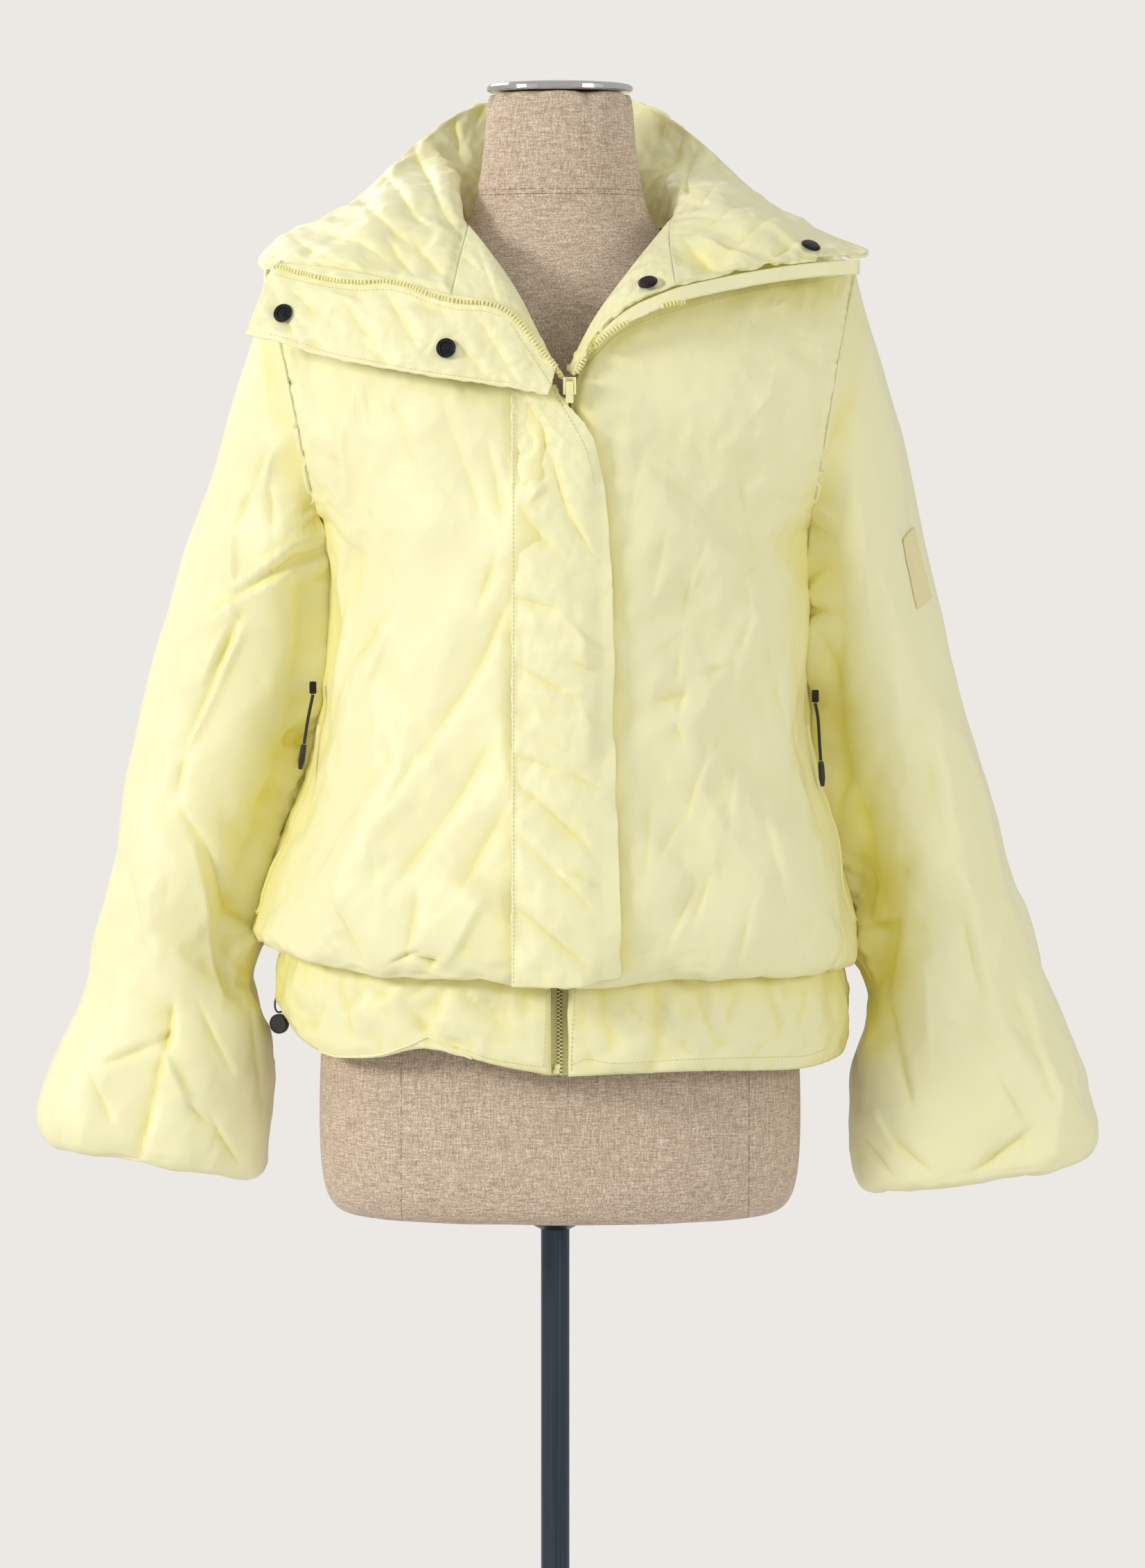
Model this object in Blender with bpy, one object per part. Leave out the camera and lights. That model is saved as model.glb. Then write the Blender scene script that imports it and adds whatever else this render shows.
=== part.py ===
"""A padded blouson jacket, worn open at the neck by a limbless dress form on a steel stand.

Metres, +Z up. The front faces -Y, so +X is the wearer's left. The origin is on the
floor, under the middle of the form. The cloth pieces are walls of real thickness that
are laid out from sections: each piece has a surface function of two shares (0 to 1),
which is sampled into a grid, folded and given its thickness.
"""
import bpy
import bmesh
import numpy as np
from math import cos, pi, radians, sin
from mathutils import Matrix, Vector

# ---- driving dimensions -------------------------------------------------------------
GAP = 0.0003                # between pieces that meet at a seam
WALL = 0.003                # padded body, sleeve and band cloth
COLLAR_WALL = 0.004         # the collar is double and padded
STRIP_WALL = 0.0022         # flap and facing strips
TAPE_WALL = 0.0012

RIGHT = -1                  # the wearer's right side lies at -X
LEFT = 1

ZIP_HALF = 0.006            # from the middle to the edge of each front
ZIP_TAPE_IN = 0.0015        # from the middle to each tape's inner edge
ZIP_TAPE_OUT = 0.0130
TAPE_FROM_Z = 0.902         # above the fronts' curl
SLIDER_AT = (0.0070, -0.1545, 1.2990)
SQUARENESS = 0.90           # below 1 fills out the corners of the body's sections

ARMPIT = {RIGHT: (0.1735, 0.000, 1.190), LEFT: (0.1800, 0.000, 1.190)}
SHOULDER = {RIGHT: (0.2130, 0.012, 1.385), LEFT: (0.2130, 0.012, 1.385)}
ARMHOLE_FRONT = 0.084       # how far the armhole bows forwards and backwards
ARMHOLE_BACK = 0.074
ARMHOLE_HOLLOW = 0.004

BODY_ROWS = 11              # grid steps from the band up to the armpit
YOKE_ROWS = 9               # grid steps from the armpit up to the shoulder
PANEL_COLUMNS = 10          # grid steps across each front
NECK_COLUMNS = 3            # grid steps of the back neckline, on each side of its middle
SLEEVE_STEPS = 20           # grid steps along each sleeve
ARM_SHARE = BODY_ROWS / (BODY_ROWS + YOKE_ROWS)
DRAW_BACK = GAP * 0.6       # each piece's share of a seam's gap
VALLEY_WEIGHT = 0.7         # pull of the steps into the pieces on a seam's direction
NORMAL_PASSES = 2           # smoothing of the direction of a wall's thickness
NECK_SHARE = NECK_COLUMNS / (NECK_COLUMNS + PANEL_COLUMNS)

STAND_X = -0.0035           # the form hangs slightly off the pole's middle
STAND_POLE_RADIUS = 0.0103
STAND_BASE_RADIUS = 0.175
STAND_BASE_THICK = 0.010

# The body's sections from the band's seam up to the armpit: heights at the middle of the
# front, the middle of the back and each side seam, then half widths and depths.
# z_front, z_back, z_right, z_left, half_right, half_left, depth_front, depth_back
BODY = (
    (0.8940, 0.8900, 0.9020, 0.8900, 0.1975, 0.2035, 0.1430, 0.1370),
    (0.8780, 0.8770, 0.8985, 0.8850, 0.2100, 0.2100, 0.1570, 0.1500),
    (0.8840, 0.8830, 0.9020, 0.8870, 0.2215, 0.2150, 0.1710, 0.1620),
    (0.9020, 0.9000, 0.9120, 0.8980, 0.2265, 0.2175, 0.1785, 0.1690),
    (0.9310, 0.9300, 0.9320, 0.9260, 0.2215, 0.2125, 0.1780, 0.1680),
    (0.9650, 0.9650, 0.9650, 0.9650, 0.2090, 0.2020, 0.1720, 0.1600),
    (1.0050, 1.0050, 1.0050, 1.0050, 0.1890, 0.1895, 0.1650, 0.1500),
    (1.0500, 1.0500, 1.0500, 1.0500, 0.1760, 0.1810, 0.1600, 0.1430),
    (1.0950, 1.0980, 1.1000, 1.1000, 0.1725, 0.1780, 0.1570, 0.1400),
    (1.1380, 1.1430, 1.1480, 1.1480, 0.1725, 0.1780, 0.1555, 0.1380),
    (1.1800, 1.1850, 1.1900, 1.1900, 0.1735, 0.1800, 0.1540, 0.1370),
)

# The fronts' inner edges from the armpit's level to the slider (x from ZIP_HALF, y, z).
FRONT_EDGE = (
    (0.0060, -0.1540, 1.1800),
    (0.0060, -0.1530, 1.2150),
    (0.0060, -0.1515, 1.2450),
    (0.0060, -0.1490, 1.2750),
    (0.0060, -0.1460, 1.3000),
)
NECK_TUCK = (0.0, 0.0065, -0.0045)   # the fronts' necklines lie behind and under the roll
SEAM_DROP = 0.0012          # the back neckline lies under the collar's seam

# The middle of the back from the armpit's level up to the neckline (y, z).
BACK_MIDDLE = (
    (0.1370, 1.1850),
    (0.1375, 1.2150),
    (0.1370, 1.2450),
    (0.1350, 1.2750),
    (0.1310, 1.3030),
    (0.1250, 1.3300),
    (0.1170, 1.3540),
    (0.1070, 1.3740),
    (0.0965, 1.3890),
    (0.0875, 1.3990),
)

# The collar's sections from the right front corner, round the neck, to the left one.
# seam x, y, z; outer edge x, y, z; rise near the seam and near the edge; lean to the neck
COLLAR = (
    (-0.0755, -0.1390, 1.3620, -0.2025, -0.0700, 1.3865, 0.004, 0.008, 0.0),
    (-0.0715, -0.1130, 1.3840, -0.2150, -0.0550, 1.3860, 0.014, 0.016, 0.0),
    (-0.0670, -0.0860, 1.4030, -0.2110, -0.0330, 1.3980, 0.027, 0.022, 0.3),
    (-0.0650, -0.0580, 1.4150, -0.1950, -0.0080, 1.4080, 0.049, 0.026, 0.7),
    (-0.0720, -0.0230, 1.4210, -0.1680, 0.0180, 1.4210, 0.066, 0.030, 1.0),
    (-0.0785, 0.0120, 1.4215, -0.1380, 0.0440, 1.4460, 0.066, 0.028, 1.1),
    (-0.0735, 0.0430, 1.4140, -0.1040, 0.0720, 1.4800, 0.044, 0.016, 0.9),
    (-0.0550, 0.0670, 1.4060, -0.0720, 0.0940, 1.5030, 0.024, 0.006, 0.5),
    (-0.0290, 0.0815, 1.4015, -0.0400, 0.1120, 1.5140, 0.004, 0.0, 0.0),
    (0.0000, 0.0865, 1.4000, 0.0100, 0.1180, 1.5225, 0.0, 0.0, 0.0),
    (0.0290, 0.0815, 1.4015, 0.0520, 0.1100, 1.5130, 0.004, 0.0, 0.0),
    (0.0550, 0.0670, 1.4060, 0.0820, 0.0880, 1.4965, 0.021, 0.006, 0.2),
    (0.0735, 0.0430, 1.4140, 0.1110, 0.0640, 1.4720, 0.041, 0.016, 0.7),
    (0.0785, 0.0120, 1.4215, 0.1390, 0.0360, 1.4430, 0.058, 0.026, 0.8),
    (0.0820, -0.0240, 1.4225, 0.1680, 0.0130, 1.4230, 0.053, 0.026, 0.7),
    (0.0785, -0.0580, 1.4190, 0.1940, -0.0090, 1.4090, 0.039, 0.022, 0.4),
    (0.0770, -0.0850, 1.4060, 0.2120, -0.0340, 1.4010, 0.022, 0.018, 0.0),
    (0.0785, -0.1130, 1.3890, 0.2200, -0.0560, 1.3960, 0.012, 0.012, 0.0),
    (0.0810, -0.1390, 1.3715, 0.2120, -0.0720, 1.3930, 0.004, 0.006, 0.0),
)
COLLAR_TO_SEAM = 3          # rows of COLLAR along each front seam
COLLAR_NECK_SIDE = 5        # row of COLLAR at each end of the shoulder seam
COLLAR_ACROSS = 6
COLLAR_PER_ROW = 2          # grid steps between two rows of COLLAR

# The turned-back facings from the slider up to the collar's front seam.
# roll line x, y, z; zip edge x, y, z; rise of the middle
LAPEL = {
    RIGHT: (
        (0.0000, -0.1478, 1.3085, 0.0032, -0.1520, 1.3055, 0.000),
        (-0.0140, -0.1380, 1.3350, -0.0090, -0.1500, 1.3215, 0.001),
        (-0.0290, -0.1250, 1.3650, -0.0240, -0.1480, 1.3400, 0.004),
        (-0.0440, -0.1070, 1.3875, -0.0415, -0.1450, 1.3560, 0.006),
        (-0.0570, -0.0830, 1.4050, -0.0590, -0.1420, 1.3600, 0.008),
    ),
    LEFT: (
        (0.0055, -0.1478, 1.3100, 0.0090, -0.1522, 1.3070, 0.000),
        (0.0210, -0.1350, 1.3420, 0.0250, -0.1450, 1.3360, 0.001),
        (0.0360, -0.1220, 1.3640, 0.0420, -0.1440, 1.3525, 0.003),
        (0.0510, -0.1060, 1.3840, 0.0560, -0.1430, 1.3610, 0.005),
        (0.0660, -0.0840, 1.4030, 0.0690, -0.1410, 1.3665, 0.007),
    ),
}
LAPEL_STEPS = 8

# The free edge of the storm flap's upper end, from the tip to the slider (x, y, z).
FLAP_EDGE = (
    (-0.2215, -0.0990, 1.3360),
    (-0.1950, -0.1120, 1.3300),
    (-0.1640, -0.1270, 1.3200),
    (-0.1390, -0.1380, 1.3150),
    (-0.1140, -0.1470, 1.3100),
    (-0.0840, -0.1545, 1.3050),
    (-0.0540, -0.1600, 1.3010),
    (-0.0290, -0.1640, 1.2970),
    (-0.0080, -0.1660, 1.2925),
)
FLAP_LOFT = 0.003           # how far the middle of the flap stands forwards
FLAP_FORWARD = 0.0030       # the flap hangs just in front of the collar's cut edge

# The placket over the zip: height and the x of its free right edge, from the top down.
PLACKET_EDGE = (
    (1.3000, -0.0025),
    (1.2890, 0.0020),
    (1.2760, 0.0150),
    (1.2545, 0.0275),
    (1.2110, 0.0345),
    (1.1600, 0.0372),
    (1.1047, 0.0395),
    (1.0500, 0.0405),
    (0.9950, 0.0412),
    (0.9400, 0.0428),
    (0.8815, 0.0450),
)
PLACKET_SEAM_X = -0.0334
PLACKET_STEPS = 20
PLACKET_FULL_Z = 1.245      # it lies flatter above this height, behind the slider's pull
PLACKET_LOFT = 0.0095       # how far its face stands out from the fronts
PLACKET_EDGE_LOFT = 0.0024
PLACKET_FLATTER = 0.0035

# The hem's height across the front (x, z); the back hem is level.
HEM_FRONT = (
    (-0.1955, 0.8550),
    (-0.1889, 0.8370),
    (-0.1785, 0.8275),
    (-0.1665, 0.8245),
    (-0.1310, 0.8245),
    (-0.0930, 0.8400),
    (-0.0720, 0.8300),
    (-0.0330, 0.8195),
    (0.0040, 0.8155),
    (0.0390, 0.8170),
    (0.0935, 0.8190),
    (0.1760, 0.8155),
    (0.2045, 0.8230),
)
HEM_BACK_Z = 0.8120
HEM_SIDE_Z = {RIGHT: 0.8550, LEFT: 0.8260}
BAND_BULGE = 0.0055
BAND_STEPS = 4
BAND_TAPER = {RIGHT: 0.970, LEFT: 1.015}   # the hem's half width over the seam's
BAND_FLARE = 0.055          # what the wearer's right side adds to it
BAND_TAPER_DEPTH = 0.995

# The sleeves' sections below the armhole: the inner and outer points of each, seen from
# the front, where the section lies in depth, its two depths and how square it is.
# x_inner, z_inner, x_outer, z_outer, y_middle, depth_front, depth_back, fullness
SLEEVE = {
    RIGHT: (
        (0.1790, 1.1560, 0.2430, 1.2900, 0.012, 0.080, 0.066, 2.0),
        (0.1725, 1.1150, 0.2670, 1.2200, 0.034, 0.088, 0.056, 2.1),
        (0.1722, 1.0740, 0.2875, 1.1540, 0.042, 0.090, 0.052, 2.2),
        (0.1790, 1.0370, 0.3050, 1.0940, 0.045, 0.086, 0.050, 2.2),
        (0.1960, 0.9980, 0.3185, 1.0320, 0.042, 0.081, 0.054, 2.2),
        (0.2190, 0.9640, 0.3230, 0.9760, 0.028, 0.074, 0.068, 2.2),
        (0.2345, 0.9220, 0.3285, 0.9300, 0.024, 0.078, 0.070, 2.1),
        (0.2200, 0.8780, 0.3380, 0.8860, 0.020, 0.076, 0.068, 2.2),
        (0.2080, 0.8440, 0.3440, 0.8520, 0.018, 0.075, 0.066, 2.3),
        (0.2105, 0.8030, 0.3645, 0.8180, 0.015, 0.074, 0.064, 2.4),
        (0.2110, 0.7640, 0.3785, 0.7840, 0.012, 0.074, 0.062, 2.5),
        (0.2125, 0.7310, 0.3815, 0.7610, 0.010, 0.072, 0.060, 2.6),
        (0.2190, 0.7230, 0.3720, 0.7480, 0.010, 0.064, 0.052, 2.6),
        (0.2300, 0.7290, 0.3580, 0.7520, 0.010, 0.052, 0.042, 2.5),
        (0.2350, 0.7400, 0.3520, 0.7640, 0.010, 0.046, 0.038, 2.4),
    ),
    LEFT: (
        (0.1850, 1.1580, 0.2440, 1.3000, 0.012, 0.080, 0.066, 2.0),
        (0.1785, 1.1180, 0.2625, 1.2200, 0.034, 0.088, 0.058, 2.1),
        (0.1780, 1.0760, 0.2755, 1.1520, 0.042, 0.090, 0.056, 2.2),
        (0.1850, 1.0320, 0.2890, 1.0860, 0.045, 0.088, 0.056, 2.2),
        (0.2000, 0.9900, 0.3120, 1.0250, 0.042, 0.083, 0.058, 2.2),
        (0.2185, 0.9500, 0.3280, 0.9640, 0.028, 0.073, 0.068, 2.2),
        (0.2270, 0.9100, 0.3445, 0.9120, 0.025, 0.076, 0.069, 2.2),
        (0.2230, 0.8660, 0.3570, 0.8660, 0.022, 0.077, 0.069, 2.2),
        (0.2140, 0.8270, 0.3705, 0.8270, 0.020, 0.076, 0.067, 2.3),
        (0.2105, 0.7860, 0.3870, 0.7920, 0.016, 0.074, 0.064, 2.4),
        (0.2110, 0.7480, 0.3935, 0.7600, 0.012, 0.072, 0.061, 2.5),
        (0.2160, 0.7230, 0.3905, 0.7440, 0.010, 0.070, 0.058, 2.6),
        (0.2280, 0.7160, 0.3790, 0.7340, 0.010, 0.062, 0.050, 2.6),
        (0.2400, 0.7230, 0.3640, 0.7390, 0.010, 0.050, 0.041, 2.5),
        (0.2450, 0.7340, 0.3580, 0.7500, 0.010, 0.045, 0.037, 2.4),
    ),
}

# The largest folds: where each starts and ends seen from the front (x, z), half its
# width, its depth (negative for a ridge), and the face that it lies on (-1 front, 1 back).
FOLDS = {
    "sleeve_right": (
        (-0.207, 1.275, -0.240, 1.165, 0.021, 0.006, -1),
        (-0.242, 1.150, -0.186, 1.192, 0.020, -0.005, -1),
        (-0.245, 1.100, -0.281, 0.995, 0.021, 0.006, -1),
        (-0.281, 0.990, -0.236, 0.905, 0.021, -0.006, -1),
        (-0.268, 0.960, -0.248, 0.860, 0.020, 0.006, -1),
        (-0.285, 0.845, -0.306, 0.740, 0.021, 0.006, -1),
        (-0.288, 0.820, -0.262, 0.775, 0.020, -0.005, -1),
        (-0.215, 1.230, -0.265, 1.100, 0.018, 0.006, 1),
        (-0.235, 0.990, -0.300, 0.920, 0.018, 0.006, 1),
        (-0.250, 0.850, -0.330, 0.800, 0.018, 0.005, 1),
    ),
    "sleeve_left": (
        (0.213, 1.285, 0.204, 1.215, 0.020, 0.005, -1),
        (0.205, 1.150, 0.262, 1.080, 0.021, 0.005, -1),
        (0.228, 0.960, 0.240, 0.900, 0.020, 0.006, -1),
        (0.240, 0.910, 0.246, 0.860, 0.020, -0.005, -1),
        (0.240, 0.858, 0.260, 0.780, 0.021, 0.006, -1),
        (0.300, 0.920, 0.310, 0.850, 0.021, 0.005, -1),
        (0.301, 0.745, 0.335, 0.765, 0.020, 0.006, -1),
        (0.225, 1.220, 0.270, 1.110, 0.018, 0.006, 1),
        (0.240, 0.970, 0.310, 0.900, 0.018, 0.006, 1),
        (0.260, 0.840, 0.345, 0.800, 0.018, 0.005, 1),
    ),
    "front_right": (
        (-0.190, 1.330, -0.150, 1.170, 0.020, 0.006, -1),
        (-0.130, 1.120, -0.060, 1.190, 0.022, 0.005, -1),
        (-0.150, 0.990, -0.060, 1.090, 0.022, 0.006, -1),
        (-0.110, 0.935, -0.045, 0.985, 0.018, 0.005, -1),
        (-0.170, 0.930, -0.120, 1.010, 0.018, -0.005, -1),
    ),
    "front_left": (
        (0.070, 1.270, 0.170, 1.170, 0.022, 0.005, -1),
        (0.090, 1.160, 0.150, 1.010, 0.020, 0.006, -1),
        (0.105, 0.945, 0.080, 0.890, 0.021, 0.005, -1),
        (0.160, 1.010, 0.185, 0.910, 0.018, -0.005, -1),
        (0.060, 1.060, 0.110, 0.960, 0.018, 0.005, -1),
    ),
    "back": (
        (-0.150, 1.300, -0.090, 1.100, 0.024, 0.006, 1),
        (0.150, 1.300, 0.080, 1.110, 0.024, 0.006, 1),
        (-0.120, 1.040, 0.010, 0.960, 0.024, 0.006, 1),
        (0.130, 1.020, 0.040, 0.930, 0.022, 0.006, 1),
        (-0.040, 0.930, -0.120, 0.900, 0.018, 0.005, 1),
    ),
}

# The dress form's sections: height, half width, front and back depth, fullness.
FORM = (
    (0.7040, 0.1480, 0.0870, 0.0930, 2.2),
    (0.7065, 0.1610, 0.0980, 0.1030, 2.3),
    (0.7165, 0.1700, 0.1060, 0.1110, 2.4),
    (0.7400, 0.1745, 0.1110, 0.1160, 2.4),
    (0.7800, 0.1755, 0.1125, 0.1180, 2.4),
    (0.8500, 0.1735, 0.1120, 0.1160, 2.3),
    (0.9200, 0.1600, 0.1060, 0.1060, 2.2),
    (0.9900, 0.1360, 0.0950, 0.0910, 2.1),
    (1.0600, 0.1210, 0.0880, 0.0820, 2.1),
    (1.1200, 0.1260, 0.0980, 0.0840, 2.1),
    (1.1900, 0.1400, 0.1160, 0.0900, 2.2),
    (1.2500, 0.1480, 0.1220, 0.0960, 2.2),
    (1.3000, 0.1590, 0.1080, 0.0960, 2.3),
    (1.3400, 0.1600, 0.0930, 0.0880, 2.2),
    (1.3680, 0.1360, 0.0800, 0.0760, 2.1),
    (1.3880, 0.1010, 0.0680, 0.0680, 2.0),
    (1.4050, 0.0780, 0.0580, 0.0640, 2.0),
    (1.4200, 0.0660, 0.0510, 0.0615, 2.0),
    (1.4380, 0.0595, 0.0470, 0.0600, 2.0),
    (1.4700, 0.0550, 0.0440, 0.0590, 2.0),
    (1.5110, 0.0520, 0.0420, 0.0570, 2.0),
)
FORM_SIDES = 28
CAP_RADIUS = 0.0525
CAP_Z = 1.5115
CAP_Y = 0.0075

# ---- materials ----------------------------------------------------------------------
COLOURS = {
    "cloth": ((0.86, 0.83, 0.42, 1), 0.45, 0.0),
    "lining": ((0.88, 0.85, 0.45, 1), 0.45, 0.0),
    "tape": ((0.80, 0.78, 0.38, 1), 0.6, 0.0),
    "zip_plastic": ((0.80, 0.77, 0.34, 1), 0.35, 0.0),
    "black_metal": ((0.02, 0.02, 0.02, 1), 0.35, 0.8),
    "black_plastic": ((0.02, 0.02, 0.02, 1), 0.45, 0.0),
    "black_cord": ((0.02, 0.02, 0.02, 1), 0.7, 0.0),
    "linen": ((0.56, 0.46, 0.35, 1), 0.85, 0.0),
    "chrome": ((0.70, 0.70, 0.70, 1), 0.15, 1.0),
    "steel": ((0.05, 0.07, 0.09, 1), 0.35, 0.9),
}


def material(name):
    """The material of that name, made on first use."""
    found = bpy.data.materials.get(name)
    if found:
        return found
    colour, roughness, metallic = COLOURS[name]
    made = bpy.data.materials.new(name)
    made.use_nodes = True
    shader = made.node_tree.nodes["Principled BSDF"]
    shader.inputs["Base Color"].default_value = colour
    shader.inputs["Roughness"].default_value = roughness
    shader.inputs["Metallic"].default_value = metallic
    return made


# ---- curves and surfaces ------------------------------------------------------------
def through(rows, share):
    """Point at a share (0 to 1) of the smooth curve through the rows of a table."""
    rows = np.asarray(rows, float)
    last = len(rows) - 1
    place = np.clip(np.asarray(share, float), 0, 1) * last
    index = np.minimum(place.astype(int), last - 1)
    part = (place - index)[..., None]
    before, here, after, beyond = (rows[np.clip(index + k, 0, last)] for k in (-1, 0, 1, 2))
    slope = (after - before) / 2
    next_slope = (beyond - here) / 2
    return (here * (1 + 2 * part) * (1 - part) ** 2 + slope * part * (1 - part) ** 2
            + after * part ** 2 * (3 - 2 * part) + next_slope * part ** 2 * (part - 1))


def unit(vectors):
    """Vectors at length one, and zero ones left as they are."""
    length = np.linalg.norm(vectors, axis=-1, keepdims=True)
    return vectors / np.where(length < 1e-12, 1, length)


def blend(low, high, value):
    """A smooth step from 0 at low to 1 at high."""
    share = np.clip((value - low) / (high - low), 0, 1)
    return share * share * (3 - 2 * share)


def bow(middle, side, spread, u):
    """Curve at u from the body's middle line round to its side; spread is its turn."""
    turn = u * spread
    across = (np.sin(turn) / np.sin(spread)) ** SQUARENESS
    depth = np.clip((np.cos(turn) - np.cos(spread)) / (1 - np.cos(spread)), 0, 1)
    depth = depth ** SQUARENESS
    x = middle[..., 0] + (side[..., 0] - middle[..., 0]) * across
    y = side[..., 1] + (middle[..., 1] - side[..., 1]) * depth
    z = middle[..., 2] + (side[..., 2] - middle[..., 2]) * u ** 1.6
    return np.stack([x, y, z], axis=-1)


def armhole(side, face, share):
    """Armhole edge from the armpit (0) to the shoulder (1); face -1 front, 1 back."""
    turn = pi * np.asarray(share, float)
    pit = np.array(ARMPIT[side])
    top = np.array(SHOULDER[side])
    rise = ((1 - np.cos(turn)) / 2)[..., None]
    point = pit + (top - pit) * rise
    bow_out = ARMHOLE_FRONT if face < 0 else ARMHOLE_BACK
    point[..., 0] -= ARMHOLE_HOLLOW * np.sin(turn)
    point[..., 1] += face * bow_out * np.sin(turn)
    point[..., 0] *= side
    return point


def front_edge(side, share):
    """A front's inner edge above the armpit's level: up the zip, then under the roll."""
    rows = COLLAR if side == RIGHT else COLLAR[::-1]
    roll = [row[:3] for row in LAPEL[side][2:]] + [row[:3] for row in rows[3:5]]
    tucked = [np.array(point) + NECK_TUCK for point in roll]
    neck_side = np.array(rows[COLLAR_NECK_SIDE][:3]) + (0, 0, -SEAM_DROP)
    zip_edge = [np.array([side * x, y, z]) for x, y, z in FRONT_EDGE]
    return through(zip_edge + tucked + [neck_side], share)


def body_row(share):
    """Columns of BODY at a share of the way from the band to the armpit."""
    return np.moveaxis(through(BODY, share), -1, 0)


def front(side, u, v):
    """Outer face of a front: u from the zip edge to the side, v from band to shoulder."""
    u, v = np.broadcast_arrays(np.asarray(u, float), np.asarray(v, float))
    z_front, _, z_right, z_left, half_right, half_left, depth, _ = body_row(v / ARM_SHARE)
    half, z_side = (half_right, z_right) if side == RIGHT else (half_left, z_left)
    low_middle = np.stack([side * ZIP_HALF + 0 * v, -depth, z_front], axis=-1)
    low_side = np.stack([side * half, 0 * v, z_side], axis=-1)
    yoke = np.clip((v - ARM_SHARE) / (1 - ARM_SHARE), 0, 1)
    high = (v > ARM_SHARE)[..., None]
    middle = np.where(high, front_edge(side, yoke), low_middle)
    edge = np.where(high, armhole(side, -1, yoke), low_side)
    spread = radians(90) - radians(48) * blend(0, 0.45, yoke)
    return bow(middle, edge, spread, u)


def back_neck(share):
    """Back neckline from one neck side (-1) through its middle (0) to the other (1)."""
    rows = [np.array(row[:3]) + (0, 0, -SEAM_DROP)
            for row in COLLAR[COLLAR_NECK_SIDE:-COLLAR_NECK_SIDE]]
    return through(rows, (np.asarray(share, float) + 1) / 2)


def back(u, v):
    """Outer face of the back: u from -1 at the right side to 1 at the left, v upwards."""
    u, v = np.broadcast_arrays(np.asarray(u, float), np.asarray(v, float))
    _, z_back, z_right, z_left, half_right, half_left, _, depth = body_row(v / ARM_SHARE)
    yoke = np.clip((v - ARM_SHARE) / (1 - ARM_SHARE), 0, 1)
    middle_up = through(BACK_MIDDLE, yoke)
    high = (v > ARM_SHARE)[..., None]
    low_middle = np.stack([0 * v, depth, z_back], axis=-1)
    high_middle = np.stack([0 * v, middle_up[..., 0], middle_up[..., 1]], axis=-1)
    middle = np.where(high, high_middle, low_middle)
    sides = []
    for side, half, z_side in ((RIGHT, half_right, z_right), (LEFT, half_left, z_left)):
        low_side = np.stack([side * half, 0 * v, z_side], axis=-1)
        edge = np.where(high, armhole(side, 1, yoke), low_side)
        spread = radians(90) - radians(48) * blend(0, 0.45, yoke)
        row = bow(middle, edge, spread, np.abs(u))
        top = bow(high_middle * 0 + np.array([0, *BACK_MIDDLE[-1]]),
                  armhole(side, 1, 1 + 0 * v), radians(42), np.abs(u))
        out = np.clip((np.abs(u) - NECK_SHARE) / (1 - NECK_SHARE), 0, 1)
        goal = np.where((np.abs(u) <= NECK_SHARE)[..., None],
                        back_neck(np.clip(u / NECK_SHARE, -1, 1)), front(side, out, 1.0))
        sides.append(row + (goal - top) * (yoke ** 4)[..., None])
    return np.where((u < 0)[..., None], sides[0], sides[1])


def sleeve(side, around, along):
    """Outer face of a sleeve: around from the armpit by the front, along to the cuff."""
    around, along = np.broadcast_arrays(np.asarray(around, float), np.asarray(along, float))
    turn = 2 * pi * around
    front_half = around <= 0.5
    rise = np.where(front_half, 2 * around, 2 - 2 * around)
    first = np.where(front_half[..., None], armhole(side, -1, rise), armhole(side, 1, rise))
    rings = [first]
    for x_in, z_in, x_out, z_out, y_middle, near, far, fullness in SLEEVE[side]:
        lengthwise = np.sign(-np.cos(turn)) * np.abs(np.cos(turn)) ** (2 / fullness)
        sideways = np.abs(np.sin(turn)) ** (2 / fullness)
        x = side * ((x_in + x_out) / 2 + (x_out - x_in) / 2 * lengthwise)
        z = (z_in + z_out) / 2 + (z_out - z_in) / 2 * lengthwise
        y = y_middle + np.where(np.sin(turn) >= 0, -near, far) * sideways
        rings.append(np.stack([x, y, z], axis=-1))
    rings = np.array(rings)
    last = len(rings) - 1
    place = np.clip(along, 0, 1) * last
    index = np.minimum(place.astype(int), last - 1)
    part = (place - index)[..., None]

    def ring(k):
        return np.take_along_axis(rings, np.clip(index + k, 0, last)[None, ..., None], 0)[0]
    before, here, after, beyond = ring(-1), ring(0), ring(1), ring(2)
    slope = (after - before) / 2
    next_slope = (beyond - here) / 2
    return (here * (1 + 2 * part) * (1 - part) ** 2 + slope * part * (1 - part) ** 2
            + after * part ** 2 * (3 - 2 * part) + next_slope * part ** 2 * (part - 1))


def bezier(start, first, second, end, share):
    """Cubic between start and end, with two control points."""
    share = share[..., None]
    rest = 1 - share
    return (start * rest ** 3 + 3 * first * share * rest ** 2
            + 3 * second * share ** 2 * rest + end * share ** 3)


def collar(along, across):
    """Inner (lining) face of the collar: along round the neck, across from the seam out."""
    along, across = np.broadcast_arrays(np.asarray(along, float), np.asarray(across, float))
    row = through(COLLAR, along)
    seam = row[..., 0:3]
    edge = row[..., 3:6]
    lean = np.stack([-np.sign(seam[..., 0]) * row[..., 8], -0.35 + 0 * along, 1 + 0 * along],
                    axis=-1)
    lift = unit(lean)
    first = seam + (edge - seam) / 3 + lift * row[..., 6:7]
    second = seam + (edge - seam) * 2 / 3 + lift * row[..., 7:8]
    return bezier(seam, first, second, edge, across)


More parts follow.
